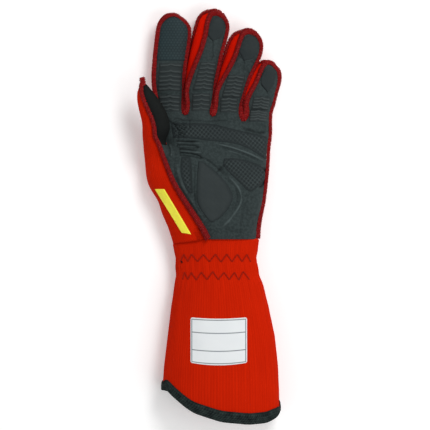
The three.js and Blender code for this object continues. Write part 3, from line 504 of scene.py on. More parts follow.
def cloth(outer, inner, raised):
    """A panel with its thickness: raised outer points, a coarser inner face and a rim."""
    tree = tree_of(outer["points"])
    count = len(raised)
    under = inner["points"] - WALL * inner["normals"]
    faces = outer["quads"].tolist() + (inner["quads"][:, ::-1] + count).tolist()
    for a, b in inner["border"].items():
        start = tree.find(inner["points"][a])[1]
        stop = tree.find(inner["points"][b])[1]
        path = [start]
        while path[-1] != stop and len(path) < 32:
            path.append(outer["border"][path[-1]])
        faces.append([*path[::-1], a + count, b + count])
    return np.vstack([raised, under]), faces, np.vstack([outer["uv"], inner["uv"]])


def smooth_line(line, count):
    """A smooth curve through points, as evenly spaced points."""
    p = np.array(line, dtype=float)
    p = np.vstack([2 * p[0] - p[1], p, 2 * p[-1] - p[-2]])
    t = np.linspace(0, 1, 17)[:-1, None]
    pieces = []
    for a, b, c, d in zip(p, p[1:], p[2:], p[3:]):
        square, cube = 2 * a - 5 * b + 4 * c - d, 3 * b - a - 3 * c + d
        pieces.append(0.5 * (2 * b + (c - a) * t + square * t**2 + cube * t**3))
    dense = np.vstack([*pieces, p[-2:-1]])
    length = np.concatenate([[0], np.cumsum(np.linalg.norm(np.diff(dense, axis=0), axis=1))])
    at = np.linspace(0, length[-1], count)
    return np.column_stack([np.interp(at, length, dense[:, k]) for k in range(dense.shape[1])])


def length_of(line):
    return np.linalg.norm(np.diff(np.array(line, dtype=float), axis=0), axis=1).sum()


def averaged(values, reach):
    """Values along a line, evened out over a few neighbours."""
    padded = np.pad(values, ((reach, reach), (0, 0)), mode="edge")
    return np.mean([padded[k:k + len(values)] for k in range(2 * reach + 1)], axis=0)


# ---- Pieces --------------------------------------------------------------------------------

def piece(name, points, faces, material, slot, nodes, uv=None, masks=None):
    """Makes a piece of the glove. Where it would sink into the table it lies flat on it."""
    points = np.array(points, dtype=float)
    points[:, 2] = np.maximum(points[:, 2], 0)
    mesh = bpy.data.meshes.new(name)
    mesh.from_pydata(((points + SHIFT) / 1000).tolist(), [], faces)
    mesh.polygons.foreach_set("use_smooth", [True] * len(mesh.polygons))
    if uv is not None:
        corners = np.empty(len(mesh.loops), dtype=int)
        mesh.loops.foreach_get("vertex_index", corners)
        mesh.uv_layers.new(name="cloth_mm").data.foreach_set("uv", np.asarray(uv)[corners].ravel())
    for key, values in (masks or {}).items():
        mesh.attributes.new(key, "FLOAT", "POINT").data.foreach_set("value", np.asarray(values, dtype=float))
    mesh.materials.append(material)
    obj = bpy.data.objects.new(name, mesh)
    bpy.context.collection.objects.link(obj)
    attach(obj, "root")
    if nodes:
        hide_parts(*nodes)
    return obj


def grid_faces(rows, columns, closed=False, offset=0):
    """The quads of a grid of points; a closed one joins its last column to its first."""
    i = np.arange(rows - 1)[:, None] * columns
    j = np.arange(columns if closed else columns - 1)
    k = (j + 1) % columns
    faces = np.stack([i + j, i + k, i + columns + k, i + columns + j], axis=-1)
    return (faces.reshape(-1, 4) + offset).tolist()


def end_caps(rows, size, turned):
    """The faces that close both ends of a tube; turned says whether the first one is reversed."""
    caps = [[end * size + k for k in range(size)] for end in (0, rows - 1)]
    return [cap[::-1] if flip else cap for cap, flip in zip(caps, (turned, not turned))]


def grid_normals(points):
    return unit(np.cross(np.gradient(points, axis=1), np.gradient(points, axis=0)))


# ---- Relief: creases, folds and puckers ----------------------------------------------------

def near(points, line):
    """How far points are from a line seen from above, and the share of the line's length there."""
    line = np.array(line, dtype=float)
    steps = np.linalg.norm(np.diff(line, axis=0), axis=1)
    before = np.concatenate([[0], np.cumsum(steps)])
    best = np.full(len(points), 1e9)
    share = np.zeros(len(points))
    for a, b, start, step in zip(line, line[1:], before, steps):
        t = np.clip((points[:, :2] - a) @ (b - a) / step**2, 0, 1)
        d = np.linalg.norm(points[:, :2] - a - t[:, None] * (b - a), axis=1)
        closer = d < best
        best[closer] = d[closer]
        share[closer] = (start + t[closer] * step) / before[-1]
    return best, share


def fold(points, line, height, width, early=1.0):
    """A ridge, or a valley where the height is negative, that fades at its ends and is fullest in
    the middle, or nearer its start where early is below 1."""
    d, share = near(points, smooth_line(line, 24))
    full = np.clip(1.9 * np.sin(np.pi * share**early), 0, 1) ** 0.8
    return height * full * np.exp(-((d / (width * (0.55 + 0.45 * full))) ** 2))


def ripple(points, size, seed):
    """Soft waves of about a size, between -1 and 1."""
    waves = np.random.default_rng(seed)
    total = np.zeros(len(points))
    for _ in range(7):
        direction = waves.normal(size=3)
        pitch = size * waves.uniform(0.7, 1.5)
        along = points @ (direction / np.linalg.norm(direction))
        total += np.sin(along * 2 * np.pi / pitch + waves.uniform(0, 6.3))
    return total / 4


def flat_ripple(x, y, size, seed):
    spots = np.stack([x.ravel(), y.ravel(), 0 * x.ravel()], axis=1)
    return ripple(spots, size, seed).reshape(x.shape)


# Lines of the palm, from its folds at the thumb to the ridges that the moulding leaves: the line,
# its height, its width and, for some, how early along it the fold is fullest.
PALM_FOLDS = [
    ([[-28.5, 63.4], [-20, 63.2], [-8, 62.4]], -1.3, 0.8, 0.7),
    ([[-28, 61.4], [-17, 61.3], [-4, 61]], 0.9, 0.8, 0.8),
    ([[-27.4, 59.4], [-18, 59], [-7, 57.8]], -2.6, 1.2, 0.6),
    ([[-25.4, 56.8], [-18, 56], [-9, 54.6]], -1.4, 0.9, 0.6),
    ([[-25, 54.8], [-16, 54], [-6, 53]], 0.9, 0.9, 0.8),
    ([[-24.6, 52.6], [-18, 52.2], [-12.5, 51.3], [-4, 48.6]], -2.6, 1.3, 0.6),
    ([[4, 61.2], [18.8, 57.4], [30.8, 53.3], [40, 49.2], [47, 45.8]], 1.2, 0.9),
    ([[8, 58.6], [19.6, 55.6], [31.2, 51.4], [42, 46.6]], -0.8, 0.9),
    ([[12, 56.2], [20.4, 53.8], [31.8, 49.6], [42, 45]], 0.6, 0.8),
    (
        [[10, 37.4], [16.6, 32.8], [22.8, 26.3], [26.4, 18.3], [25.4, 10.2], [18.3, -0.7], [8.6, -11.1]],
        0.9, 0.9,
    ),
    ([[8, 36], [14.6, 31], [20.8, 24.6], [23.8, 17.6], [22.6, 11], [15.8, 1.4]], -0.6, 0.8),
    ([[43, 41.2], [48, 37.6], [47.9, 30.3], [40.8, 23.3]], -1.9, 1.3),
    ([[-5, 49.8], [1.7, 45.2], [8.6, 39.3], [15.1, 33]], -1, 1),
    ([[17.8, 49], [13.3, 44], [8.6, 39.3], [3.3, 34]], -0.8, 1),
    ([[5, 47.6], [8, 43.5], [11, 39.3], [17, 31.6]], -0.5, 0.7),
    ([[-31.1, 81.4], [-19.9, 80.7], [-3.3, 80], [10.8, 80.5], [22.4, 79.3]], -0.8, 0.9),
    ([[29.9, 74.2], [36.5, 71.4], [42.3, 70.1], [49, 71]], -1.2, 1.3),
    ([[-28.2, 49], [-29.2, 42.3], [-27.4, 32.4], [-22.4, 20.8], [-14.1, 7.5], [-5, -5.8]], -0.7, 1.5),
    ([[-24, 51], [-25.6, 42.3], [-23.9, 31.4], [-19.4, 20.8], [-11.1, 8.5], [-4, -3.8]], 0.5, 1.6),
    ([[44, 19.9], [35.7, 14.9], [28.2, 2.5], [25.7, -15.8]], -0.5, 1.3),
    ([[-16.3, 81.3], [-16.6, 77.2], [-16.1, 71.4]], -0.5, 0.7),
    ([[-11.6, 47.5], [-12.2, 34], [-12.4, 20], [-10.6, 9], [-4, -1]], -0.6, 0.7),
    ([[-38, 80.6], [-30, 77], [-25.6, 71], [-26.4, 64]], -0.7, 1.2),
    ([[-34.4, 62], [-31, 56], [-31.6, 48]], 0.6, 1),
    ([[26, 77], [30, 73], [33, 68]], -0.6, 0.8),
    ([[38, 4], [41, -4], [40, -14]], -0.5, 1.2),
    ([[8, -8], [20, -12], [34, -13]], -0.4, 1.6),
    ([[2.9, 141.6], [3.4, 134], [1.4, 128.4]], -0.75, 0.5),
    ([[-1.6, 151.6], [3.2, 145.6], [3, 139]], -0.8, 0.5),
    ([[23.4, 139.6], [28.8, 129.6], [28, 120]], -0.8, 0.5),
    ([[24, 136], [22, 129], [19.6, 122.6]], -0.6, 0.7),
    ([[42, 111.6], [48.6, 103.4], [47.4, 97]], -0.75, 0.5),
]
# Faint fine lines: a herringbone by the thumb, and creases where the fingers bend.
HERRINGBONE = [
    ([[-31.5, y], [-25.5, y + 3], [-19, y]], -0.7, 0.5) for y in np.arange(65.5, 79, 1.9)
]
FINGER_BENDS = [
    ([[-44, 102.6], [-33, 102], [-22, 102.8]], -0.7, 1),
    ([[-15, 104.6], [-7, 104], [1, 104.8]], -0.7, 1),
    ([[9, 99.4], [16, 99], [24, 100]], -0.6, 0.9),
    ([[32, 89], [40, 88.8], [49, 90]], -0.5, 0.9),
]
# How far from a panel's border its relief starts, and where it is full.
RELIEF_FADE = (0.2, 3.0)
# Where the underside bends over the joints of the fingers, and below what height that is.
BACK_BENDS = [
    (-35, 108), (-8, 110), (17, 106), (41, 96), (-34, 132), (-4, 134), (25, 126), (-30, 84), (14, 84),
]
UNDERSIDE = 9


def palm_relief(points):
    folds = sum(fold(points, *line) for line in PALM_FOLDS + HERRINGBONE + FINGER_BENDS)
    return folds + 0.25 * ripple(points, 14, 3) + 0.08 * ripple(points, 4, 4)


def back_relief(points):
    """Soft wrinkles in the knit, and bends over the knuckles of the underside."""
    bends = sum(
        fold(points, [[x - 10, y - 1], [x, y], [x + 10, y - 1]], -0.8, 1.6) * (points[:, 2] < UNDERSIDE)
        for x, y in BACK_BENDS
    )
    return bends + 0.35 * ripple(points * [1, 0.5, 1], 16, 5) + 0.06 * ripple(points, 4, 6)


def seam_pull(points, tree, step):
    """Cloth dips to a seam and puckers along it."""
    found = [tree.find(p) for p in points]
    d = np.array([f[2] for f in found])
    along = np.array([f[1] for f in found]) * step
    pucker = np.sin(along * 2 * np.pi / 4.4 + 1.3 * np.sin(along / 7)) * np.exp(-d / 3.2)
    return -0.5 * np.exp(-((d / 2.6) ** 2)) + 0.22 * pucker


# ---- Seams ---------------------------------------------------------------------------------

SEAM_STEP = 0.55
STITCH_PITCH = 1.15
# A seam's core as a share of its size, and the thickness of its thread.
CORE_SHARE, THREAD = 0.86, 0.5


def seam_path(line, ground, surface_tree, surface):
    """Even points along a seam on the cloth, with their normals and side directions."""
    count = max(4, round(length_of(line) / SEAM_STEP))
    rough = averaged(smooth_line(line, count), 1)
    on_cloth = np.array([ground.find_nearest(p)[0] for p in rough])
    on_cloth = averaged(on_cloth, 1)
    up = np.array([surface["normals"][surface_tree.find(p)[1]] for p in on_cloth])
    up = unit(averaged(up, 5))
    ahead = unit(averaged(np.gradient(on_cloth, axis=0), 2))
    side = unit(np.cross(ahead, up))
    return on_cloth, up, side, ahead


# Where the seams are fuller: at three crotches, the fingertips and the little finger's side.
SEAM_SWELLS = table("x y reach more", [
    (-19.8, 87, 10, 0.1), (2.9, 86, 10, 0.1), (28.6, 84, 13, 0.6), (6.2, 170.4, 9, 0.3),
    (32.6, 154.6, 9, 0.3), (51.4, 127.4, 7, 0.2), (-29.5, 167.6, 8, 0.4), (57.6, 117, 7, 0.45),
])


def seam_width(points, ahead, name):
    """Half the width of a seam: fuller at the fingertips, the wrist and the base of the thumb."""
    x, y = points[:, 0], points[:, 1]
    if name == "seam_thumb":
        return np.interp(y, [-18, 5, 40, 100, 112], [2.4, 2.1, 1.6, 1.3, 1.7])
    width = np.full(len(points), 1.65)
    if name == "seam_palm":
        width = np.where((ahead[:, 1] < -0.3) & (y > 92) & (x < 44), 1.4, width)
        wrist = np.interp(y, [-18, -4, 20], [2.4, 2.1, 1.7])
        width = np.where((x > 30) & (y < 78), wrist, width)
    for s in SEAM_SWELLS:
        width = width + s["more"] * np.exp(-((x - s["x"]) ** 2 + (y - s["y"]) ** 2) / s["reach"] ** 2)
    return width


def overlock(path, width, height):
    """A rounded core wrapped in loops of thread."""
    centre, up, side, ahead = path
    angles = np.radians(np.linspace(-105, 105, 13))
    core = (
        centre[:, None]
        + side[:, None] * (np.sin(angles)[None, :, None] * (width * CORE_SHARE)[:, None, None])
        + up[:, None] * (np.cos(angles)[None, :, None] * (height * CORE_SHARE)[:, None, None])
    )
    points = [core.reshape(-1, 3)]
    faces = grid_faces(len(centre), len(angles)) + end_caps(len(centre), len(angles), False)
    total = len(points[0])

    gap = STITCH_PITCH / SEAM_STEP
    stops = np.arange(1, len(centre) - 2, gap)
    arch = np.radians(np.linspace(-98, 98, 9))
    ring = np.radians(np.arange(0, 360, 72))
    before = stops.astype(int)

    def at_stops(values):
        share = (stops % 1).reshape(-1, *[1] * (values.ndim - 1))
        return mix(values[before], values[before + 1], share)

    wobble = random.normal(0, 0.12, len(stops))
    c, u, s, a = (at_stops(values)[:, None] for values in (centre, up, side, ahead))
    w, h = at_stops(width)[:, None, None], at_stops(height)[:, None, None]
    sine, cosine = np.sin(arch)[None, :, None], np.cos(arch)[None, :, None]
    slant = 0.45 * sine + wobble[:, None, None]
    loops = c + s * sine * w + u * cosine * h + a * slant
    out = unit(s * sine / w + u * cosine / h)
    thick = THREAD + random.normal(0, 0.03, len(stops))[:, None, None, None]
    cosines, sines = np.cos(ring)[None, None, :, None], np.sin(ring)[None, None, :, None]
    tube = loops[:, :, None] + thick * (out[:, :, None] * cosines + a[:, :, None] * sines)
    points.append(tube.reshape(-1, 3))
    one = np.array(grid_faces(len(arch), len(ring), closed=True))
    size = len(arch) * len(ring)
    faces += (one[None] + (np.arange(len(stops)) * size)[:, None, None] + total).reshape(-1, 4).tolist()
    return np.vstack(points), faces


# ---- Laid pieces: grip prints, ribs and labels ---------------------------------------------

# How far the edges of laid pieces are sunk into the cloth.
SUNK = 0.25

def drape(ground, left, right, pitch, thickness, height=None, sags=(0, 0)):
    """A sheet laid on a surface between two outlines, both from their lower to their upper end.
    Its lower and upper edges sag in the middle. height gives its relief, and a mask for its
    colour, from the share of the way across, the spot and the distance to the edge."""
    tall = length_of(left)
    wide = np.linalg.norm(smooth_line(left, 9) - smooth_line(right, 9), axis=1).max()
    rows, columns = max(8, round(tall / pitch)), max(8, round(wide / pitch))
    a, b = smooth_line(left, rows + 1), smooth_line(right, rows + 1)
    u = np.linspace(0, 1, columns + 1)
    v = np.linspace(0, 1, rows + 1)[:, None]
    flat = mix(a[:, None], b[:, None], u[None, :, None])
    placed = flat.copy()
    placed[..., 1] -= mix(sags[0], sags[1], v) * (1 - (2 * u[None] - 1) ** 2)
    spots = placed.reshape(-1, 2)
    hits = [ground.ray_cast(Vector((x, y, ABOVE)), -UP)[0] for x, y in spots]
    last = next((hit for hit in hits if hit), Vector((0, 0, 20)))
    for i, hit in enumerate(hits):
        last = hits[i] = hit or ground.find_nearest(Vector((*spots[i], last.z)))[0]
    base = np.array(hits).reshape(flat.shape[0], flat.shape[1], 3)
    up = grid_normals(base)
    flat_spots = np.linalg.norm(up, axis=-1) < 0.5
    up[flat_spots] = unit(up.reshape(-1, 3).sum(axis=0))
    turned = up[..., 2].mean() < 0
    up = -up if turned else up
    width = np.linalg.norm(a - b, axis=1)[:, None]
    edge = np.minimum(np.minimum(u, 1 - u)[None] * width, np.minimum(v, 1 - v) * tall)
    rise = np.clip(edge / (1.2 * thickness + 0.2), 0, 1)
    lift = (thickness + SUNK) * np.sqrt(1 - (1 - rise) ** 2) - SUNK
    mask = np.zeros_like(lift)
    if height:
        extra, mask = height(u[None] + 0 * v, flat[..., 0], flat[..., 1], edge)
        lift = lift + extra
    points = base + up * lift[..., None]
    faces = grid_faces(rows + 1, columns + 1)
    if turned:
        faces = [f[::-1] for f in faces]
    uv = np.stack([u[None] * wide + 0 * v, v * tall + 0 * u[None]], axis=-1)
    return points.reshape(-1, 3), faces, uv.reshape(-1, 2), mask.ravel()


def soft_step(value, low, high):
    """Rises smoothly from 0 at low to 1 at high."""
    t = np.clip((value - low) / (high - low), 0, 1)
    return t * t * (3 - 2 * t)


def from_cell(x, y, wide, tall):
    """How far spots are from the middle of the nearest cell in a field of staggered hexagons."""
    best = np.full(x.shape, 9.0)
    for shift in (0, 0.5):
        across = abs(((x / wide + shift) % 1 - 0.5) * wide)
        along = abs(((y / tall + shift) % 1 - 0.5) * tall)
        best = np.minimum(best, np.maximum(across, 0.5 * across + 0.866 * along))
    return best


def dots(u, x, y, edge):
    """Small raised cells in staggered rows, 3.6 mm apart."""
    turn = math.radians(-6)
    p = x * math.cos(turn) - y * math.sin(turn)
    q = x * math.sin(turn) + y * math.cos(turn)
    dot = 1 - soft_step(from_cell(p, q, 3.55, 3.8), 0.75, 1.15)
    inside = soft_step(edge, 0.3, 3.6) * (0.75 + 0.25 * np.sin(x / 9) * np.sin(y / 6))
    return 0.45 * dot * inside, 0.8 * (1 - dot) * inside


def honeycomb(u, x, y, edge):
    """A faint net of shallow cells."""
    pitch = 2.5
    best = from_cell(x, y, pitch, pitch * math.sqrt(3))
    cell = (1 - soft_step(best, 0.6, 1.1)) * soft_step(edge, 0.8, 2.0)
    return -0.14 * cell, 0.5 * cell


def padded_print(u, x, y, edge):
    """A smooth moulded pad that is a little paler in its middle."""
    swell, mask = plain_print(u, x, y, edge)
    return swell, mask + 0.3 * soft_step(edge, 0.5, 4)


def plain_print(u, x, y, edge):
    return 0.12 * flat_ripple(x, y, 7, 9), 0 * x


def rib_set(ys, slope):
    """Rounded bars across a finger with a small peak in the middle of each."""
    def height(u, x, y, edge):
        off = u - 0.5
        peak = slope * off + 0.7 * np.exp(-((off / 0.09) ** 2)) - 1.6 * off**2
        reach = soft_step(u, 0.0, 0.12) * soft_step(1 - u, 0.0, 0.12)
        total = np.max([np.exp(-(((y - level - peak) / 0.85) ** 2)) for level in ys], axis=0) * reach
        # The second value paints the bars paler: a painted highlight on them.
        return 1.25 * total, total
    return height


def ruled_label(left, right, bottom, top):
    """The ruled frame and the dividing lines of the bare label."""
    inset, rules = 1.3, (11.9, 26.3)
    lines = (bottom + inset, top - inset, *(top - rule for rule in rules))

    def height(u, x, y, edge):
        beside = np.minimum(abs(x - left - inset), abs(x - right + inset))
        between = np.min([abs(y - line) for line in lines], axis=0)
        inside = soft_step(np.minimum(x - left, right - x), inset - 0.5, inset - 0.1)
        inside = inside * soft_step(np.minimum(y - bottom, top - y), inset - 0.5, inset - 0.1)
        ink = (1 - soft_step(np.minimum(beside, between), 0.22, 0.5)) * inside
        return 0.06 * flat_ripple(x, y, 16, 15), ink
    return height


# Each print: its outlines on both sides, lower end first, and its relief.
PRINTS = {
    "palm_pad_upper": (
        [[-30, 65.6], [-13.6, 64.8], [3.1, 62.8], [17, 61.4], [30.8, 57.6], [47.4, 47.6]],
        [[-31.6, 78], [-14.6, 78], [3.1, 77.2], [17.9, 73.6], [30.8, 70.6], [48.4, 66.8]], dots,
    ),
    "palm_pad_heel": (
        [[11.4, 43], [17.9, 35.6], [25.2, 28.6], [33.5, 21.2], [40.6, 25], [47, 32.6]],
        [[12.2, 48.4], [20, 48.8], [27.1, 48], [34, 46.2], [40, 44], [47.4, 39.8]], dots,
    ),
    "palm_pad_thenar": (
        [[-16.6, 19.5], [-20.3, 25.7], [-23.1, 34], [-23.7, 42.3], [-22.9, 49.8]],
        [[-13.4, 19.5], [-13.6, 27.4], [-13.9, 35.7], [-14.4, 44], [-15.4, 50.6]], dots,
    ),
    "palm_pad_centre": (
        [[0.8, -3.7], [-4.5, 2.9], [-9, 10.8], [-10.3, 19.9], [-9.8, 34], [-8.6, 46.5]],
        [[3.3, -4.1], [10.8, 0.8], [16.9, 8.5], [19.6, 16.8], [16, 26.1], [6.2, 37.2], [-5, 46.1]],
        padded_print,
    ),
    "tip_index": (
        [[-43.7, 129.9], [-43.2, 145.2], [-41.6, 155.2], [-38.9, 160.8], [-34.3, 164.4], [-28.2, 165.2]],
        [[-18.4, 129.9], [-16.3, 145.2], [-16.4, 155.2], [-18.4, 160.8], [-22, 164.4], [-27.3, 165.2]],
        honeycomb,
    ),
    "tip_middle": (
        [[3, 146.5], [-0.6, 150.2], [-0.9, 156.9], [0.8, 162.6], [6.1, 166]],
        [[3.8, 146.9], [9.8, 149.4], [12.6, 156], [12, 162.5], [7, 166]], plain_print,
    ),
    "tip_ring": (
        [[28.7, 129.9], [24.4, 135.3], [24.9, 142.2], [28.7, 148.2], [34.8, 151]],
        [[30, 130.3], [36.9, 132.2], [40.8, 139.4], [40.8, 146.2], [35.8, 151]], plain_print,
    ),
    "tip_little": (
        [[48.5, 103.8], [43.4, 110.4], [43.4, 116.4], [46.7, 122.2], [51.2, 124.6]],
        [[49.5, 104.2], [53.8, 109.6], [55.4, 116.2], [54.8, 121.2], [52, 124]], plain_print,
    ),
}
# Each set of ribs: the ends of the lowest and of the highest, their heights and their slope.
RIBS = {
    "ribs_index_upper": ([-43.2, -23.4], [-41.6, -21.8], [106.4, 109.8, 113.2, 116.6, 120.7, 126], 0),
    "ribs_index_lower": ([-41, -24], [-42.4, -23.6], [89.3, 92.4, 95.6, 99.6], 0),
    "ribs_middle_upper": ([-13.8, 2.8], [-7.4, 6.2], [107.1, 110.3, 113.5, 116.7, 120, 123.5, 127], -0.6),
    "ribs_middle_lower": ([-14.8, 0.6], [-13.8, 1.2], [89.9, 93.4, 97.1, 101], 0),
    "ribs_ring_upper": ([10.2, 26], [15.6, 30.6], [101.3, 104.1, 107, 110, 113, 116.2], -1),
    "ribs_ring_lower": ([9, 23.6], [9.4, 24], [88.6, 91.6, 94.6, 97.6], -0.4),
    "ribs_little_upper": ([34.8, 49.2], [36.6, 51.4], [91, 93.4, 95.8, 98.3], -1),
    "ribs_little_lower": ([32.6, 47.4], [34, 48.6], [80.9, 83.1, 85.2, 87.2], -0.8),
}
RIB_MARGIN = 2.0
# How closely the laid pieces are divided, and how thick they are.
PITCHES = dict(print=0.34, rib=0.3, white=0.26, yellow=0.5)
THICKNESSES = dict(print=0.6, dots=0.3, rib=0.1, label=0.45)
# The white label, how far its lower and upper edges sag, and a rounded corner of it.
WHITE_LABEL = dict(left=-15.4, right=31.6, bottom=-120.6, top=-83.0)
WHITE_SAGS = (1.9, 1.0)
WHITE_CORNER = [(1.8, 0), (1.1, 0.15), (0.5, 0.5), (0.15, 1.1), (0, 1.8), (0, 3.0), (0, 6.0), (0, 12.0)]
YELLOW_LEFT = [[-22.8, -13.2], [-34.0, 5.0], [-45.3, 23.3]]
YELLOW_RIGHT = [[-14.4, -14.6], [-25.6, 4.4], [-36.9, 23.3]]


# ---- The gauntlet --------------------------------------------------------------------------

# The gauntlet's sides, top and bottom along the arm. It leaves the hand at its hem.
CUFF_ROWS = np.array([
    (-13.6, -28, 37.2, 25.6, 2.6), (-16.9, -27.8, 37.4, 25.4, 2.4), (-18.3, -27.9, 41.7, 26.2, 2.2),
    (-21, -28.1, 41.5, 26.2, 2), (-22.3, -30.3, 41.2, 26, 1.8), (-26.4, -29.3, 40.7, 25.6, 1.8),
    (-33, -28.2, 39.7, 25, 2.2), (-38, -27.7, 39.8, 24.8, 2.2), (-46, -27.6, 41.4, 25.2, 2),
    (-51, -27.9, 42.9, 26.4, 1.8), (-57, -28.6, 45, 28.2, 1.7), (-74, -31.4, 49.4, 31.6, 1.7),
    (-98, -34.2, 54.2, 34.6, 1.7), (-124, -37.2, 57.2, 36.6, 1.7), (-142, -38.2, 58.2, 37.2, 1.7),
    (-176, -38.2, 58.2, 37.2, 1.7),
])[::-1]
HEM = np.array([
    (-40, -162.6), (-20, -159), (0, -160), (20, -165), (40, -169.2), (62, -170.4), (90, -168.2),
    (118, -160.8), (138, -150.6), (158, -141.6), (180, -142.8), (200, -142.6), (222, -144.4),
    (245, -156), (270, -164), (298, -166.6), (320, -162.6), (340, -159), (360, -160), (380, -165),
])
# How far the hem's tape reaches up the gauntlet at each angle: least where the sides fold.
TAPE_REACH = np.array([
    (-30, 8.2), (-12, 6), (0, 2.6), (12, 6), (30, 8.2), (150, 8.4), (165, 6.6), (180, 4.2), (200, 7),
    (220, 8.2), (330, 8.2), (348, 6), (360, 2.6), (372, 6),
])
CUFF_TOP = -13.6
CUFF_TURNS, CUFF_STEPS, INNER_STEPS = 288, 170, 60
# The lengths of cloth round the gauntlet, along its inside and round its tape.
CUFF_ROUND, CUFF_LONG, TAPE_ROUND = 196.0, 150, 230
CUFF_POWER, CUFF_UNDER_POWER = 2.1, 4.0


def eased(at, keys, values, reach):
    """A table read with its corners rounded over a reach."""
    return np.mean([np.interp(at + d, keys, values) for d in np.linspace(-reach, reach, 9)], axis=0)


def hem_height(angle):
    return eased(angle % 360, HEM[:, 0], HEM[:, 1], 5)


def cuff_points(angle, y):
    """Points of the gauntlet at an angle, from +X over +Z, and a height along the arm."""
    left, right, top, bottom = (eased(y, CUFF_ROWS[:, 0], CUFF_ROWS[:, k], 1.0) for k in (1, 2, 3, 4))
    c, s = np.cos(np.radians(angle)), np.sin(np.radians(angle))
    power = np.where(s > 0, CUFF_POWER, CUFF_UNDER_POWER)
    grow = (abs(c) ** power + abs(s) ** power) ** (-1 / power)
    x = (left + right) / 2 + (right - left) / 2 * c * grow
    return np.stack([x, y, (top + bottom) / 2 + (top - bottom) / 2 * s * grow], axis=-1)


def humps(y, *rows):
    """A sum of smooth humps along the arm, each with its height, middle and reach."""
    return sum(height * np.exp(-(((y - middle) / reach) ** 2)) for height, middle, reach in rows)


def cuff_relief(angle, y):
    """Gathers beside the two rows of elastic, and long soft folds below them."""
    around = angle / 360 * CUFF_ROUND
    waver = flat_ripple(around * 0.3, y, 30, 11)
    gathers = np.sin(around * 2 * np.pi / 5.6 + 1.4 * waver)
    gathers += 0.6 * np.sin(around * 2 * np.pi / 3.1 + 2 * waver + 1)
    between = humps(y, (1, -41.5, 4.2), (0.35, -27.5, 3.5), (0.8, -57, 6.5))
    pinch = humps(y, (1, -34, 2.6), (1, -49, 2.6))
    long = flat_ripple(around, y * 0.22, 15, 12) * soft_step(-y, 52, 90)
    wide = flat_ripple(around, y * 0.5, 42, 13) * soft_step(-y, 60, 110)
    return 0.17 * gathers * between + 0.15 * between - 0.25 * pinch + 0.22 * long + 0.55 * wide


def even_angles(turns):
    """Angles round the gauntlet, from its left side over the palm."""
    return 180 - np.arange(turns) * 360 / turns


def cuff_sheet(inset, turns, steps):
    """One face of the gauntlet, from its hem up: heights, normals and points."""
    shares = np.linspace(0, 1, steps)[:, None]
    angle = even_angles(turns)[None] + 0 * shares
    y = mix(hem_height(angle), CUFF_TOP, shares)
    base = cuff_points(angle, y)
    ring = np.concatenate([base[:, -1:], base, base[:, :1]], axis=1)
    up = -unit(np.cross(np.gradient(base, axis=0), (ring[:, 2:] - ring[:, :-2]) / 2))
    return y, up, base + up * (cuff_relief(angle % 360, y) - inset)[..., None]


def build_cuff():
    """The gauntlet: its outer face, a coarser inner one and the rims between them."""
    half = CUFF_TURNS // 2
    y, up, outer = cuff_sheet(0, CUFF_TURNS, CUFF_STEPS)
    inner = cuff_sheet(WALL, half, INNER_STEPS)[2]
    count = y.size
    faces = grid_faces(CUFF_STEPS, CUFF_TURNS, closed=True)
    faces += [f[::-1] for f in grid_faces(INNER_STEPS, half, closed=True, offset=count)]
    for o, i, turned in ((0, count, False), (count - CUFF_TURNS, count + (INNER_STEPS - 1) * half, True)):
        for j in range(half):
            rim = [o + (2 * j + step) % CUFF_TURNS for step in range(3)]
            face = [*rim, i + (j + 1) % half, i + j]
            faces.append(face if turned else face[::-1])
    around = lambda turns: even_angles(turns) % 360 / 360 * CUFF_ROUND
    inner_y = np.linspace(0, CUFF_LONG, INNER_STEPS)[:, None]
    grids = (around(CUFF_TURNS)[None], y), (around(half)[None], inner_y)
    uv = np.vstack([np.stack(np.broadcast_arrays(*grid), axis=-1).reshape(-1, 2) for grid in grids])
    return np.vstack([outer.reshape(-1, 3), inner.reshape(-1, 3)]), faces, uv, outer, up


def binding_sections(outer, up):
    """The tape's fold round the hem: a leaf outside and a leaf inside, with their stitched edges."""
    edge, normal = outer[0], up[0]
    down = unit(outer[0] - outer[14])
    reach = eased(even_angles(len(edge)) % 360, TAPE_REACH[:, 0], TAPE_REACH[:, 1], 3)[:, None]
    gap, thick = 0.3, 1.0
    low, high = gap, gap + thick
    middle, radius = -WALL / 2, WALL / 2 + high
    turn = np.radians(np.linspace(90, -90, 9))
    # Each corner of the section: how far out it lies, how far down as a share of the reach, and
    # how much further down.
    profile = [
        (high * 0.2, -1, 0), (high * 0.8, -1, 0.15), (high, -1, 0.6), (high - 0.25, -1, 1), (high, -1, 1.4),
        (high + 0.1, -0.6, 0), (high, -0.3, 0),
        *((middle + radius * math.sin(t), 0, 0.2 + 1.1 * math.cos(t)) for t in turn),
        (-WALL - high, -0.3, 0), (-WALL - high, -0.6, 0), (-WALL - high, -1, 0.2), (-WALL - low, -1, 0.1),
        (-WALL - low, -0.5, 0), (-WALL / 2, 0, -0.4), (low, -0.5, 0), (low, -1, 0.1),
    ]
    corners = [edge + normal * out + down * (share * reach + more) for out, share, more in profile]
    return np.stack(corners, axis=1)


# ---- Materials -----------------------------------------------------------------------------

def linear(code):
    """A #RRGGBB colour as linear light."""
    channels = [int(code[k:k + 2], 16) / 255 for k in (1, 3, 5)]
    return (*(c / 12.92 if c <= 0.04045 else ((c + 0.055) / 1.055) ** 2.4 for c in channels), 1)


def add(tree, kind, inputs=None, **settings):
    """Adds a node with its settings, and links or sets its inputs."""
    node = tree.nodes.new(kind)
    for key, value in settings.items():
        setattr(node, key, value)
    for key, value in (inputs or {}).items():
        if isinstance(value, bpy.types.NodeSocket):
            tree.links.new(value, node.inputs[key])
        else:
            node.inputs[key].default_value = value
    return node


def arithmetic(tree, operation, *values):
    return add(tree, "ShaderNodeMath", dict(enumerate(values)), operation=operation).outputs[0]


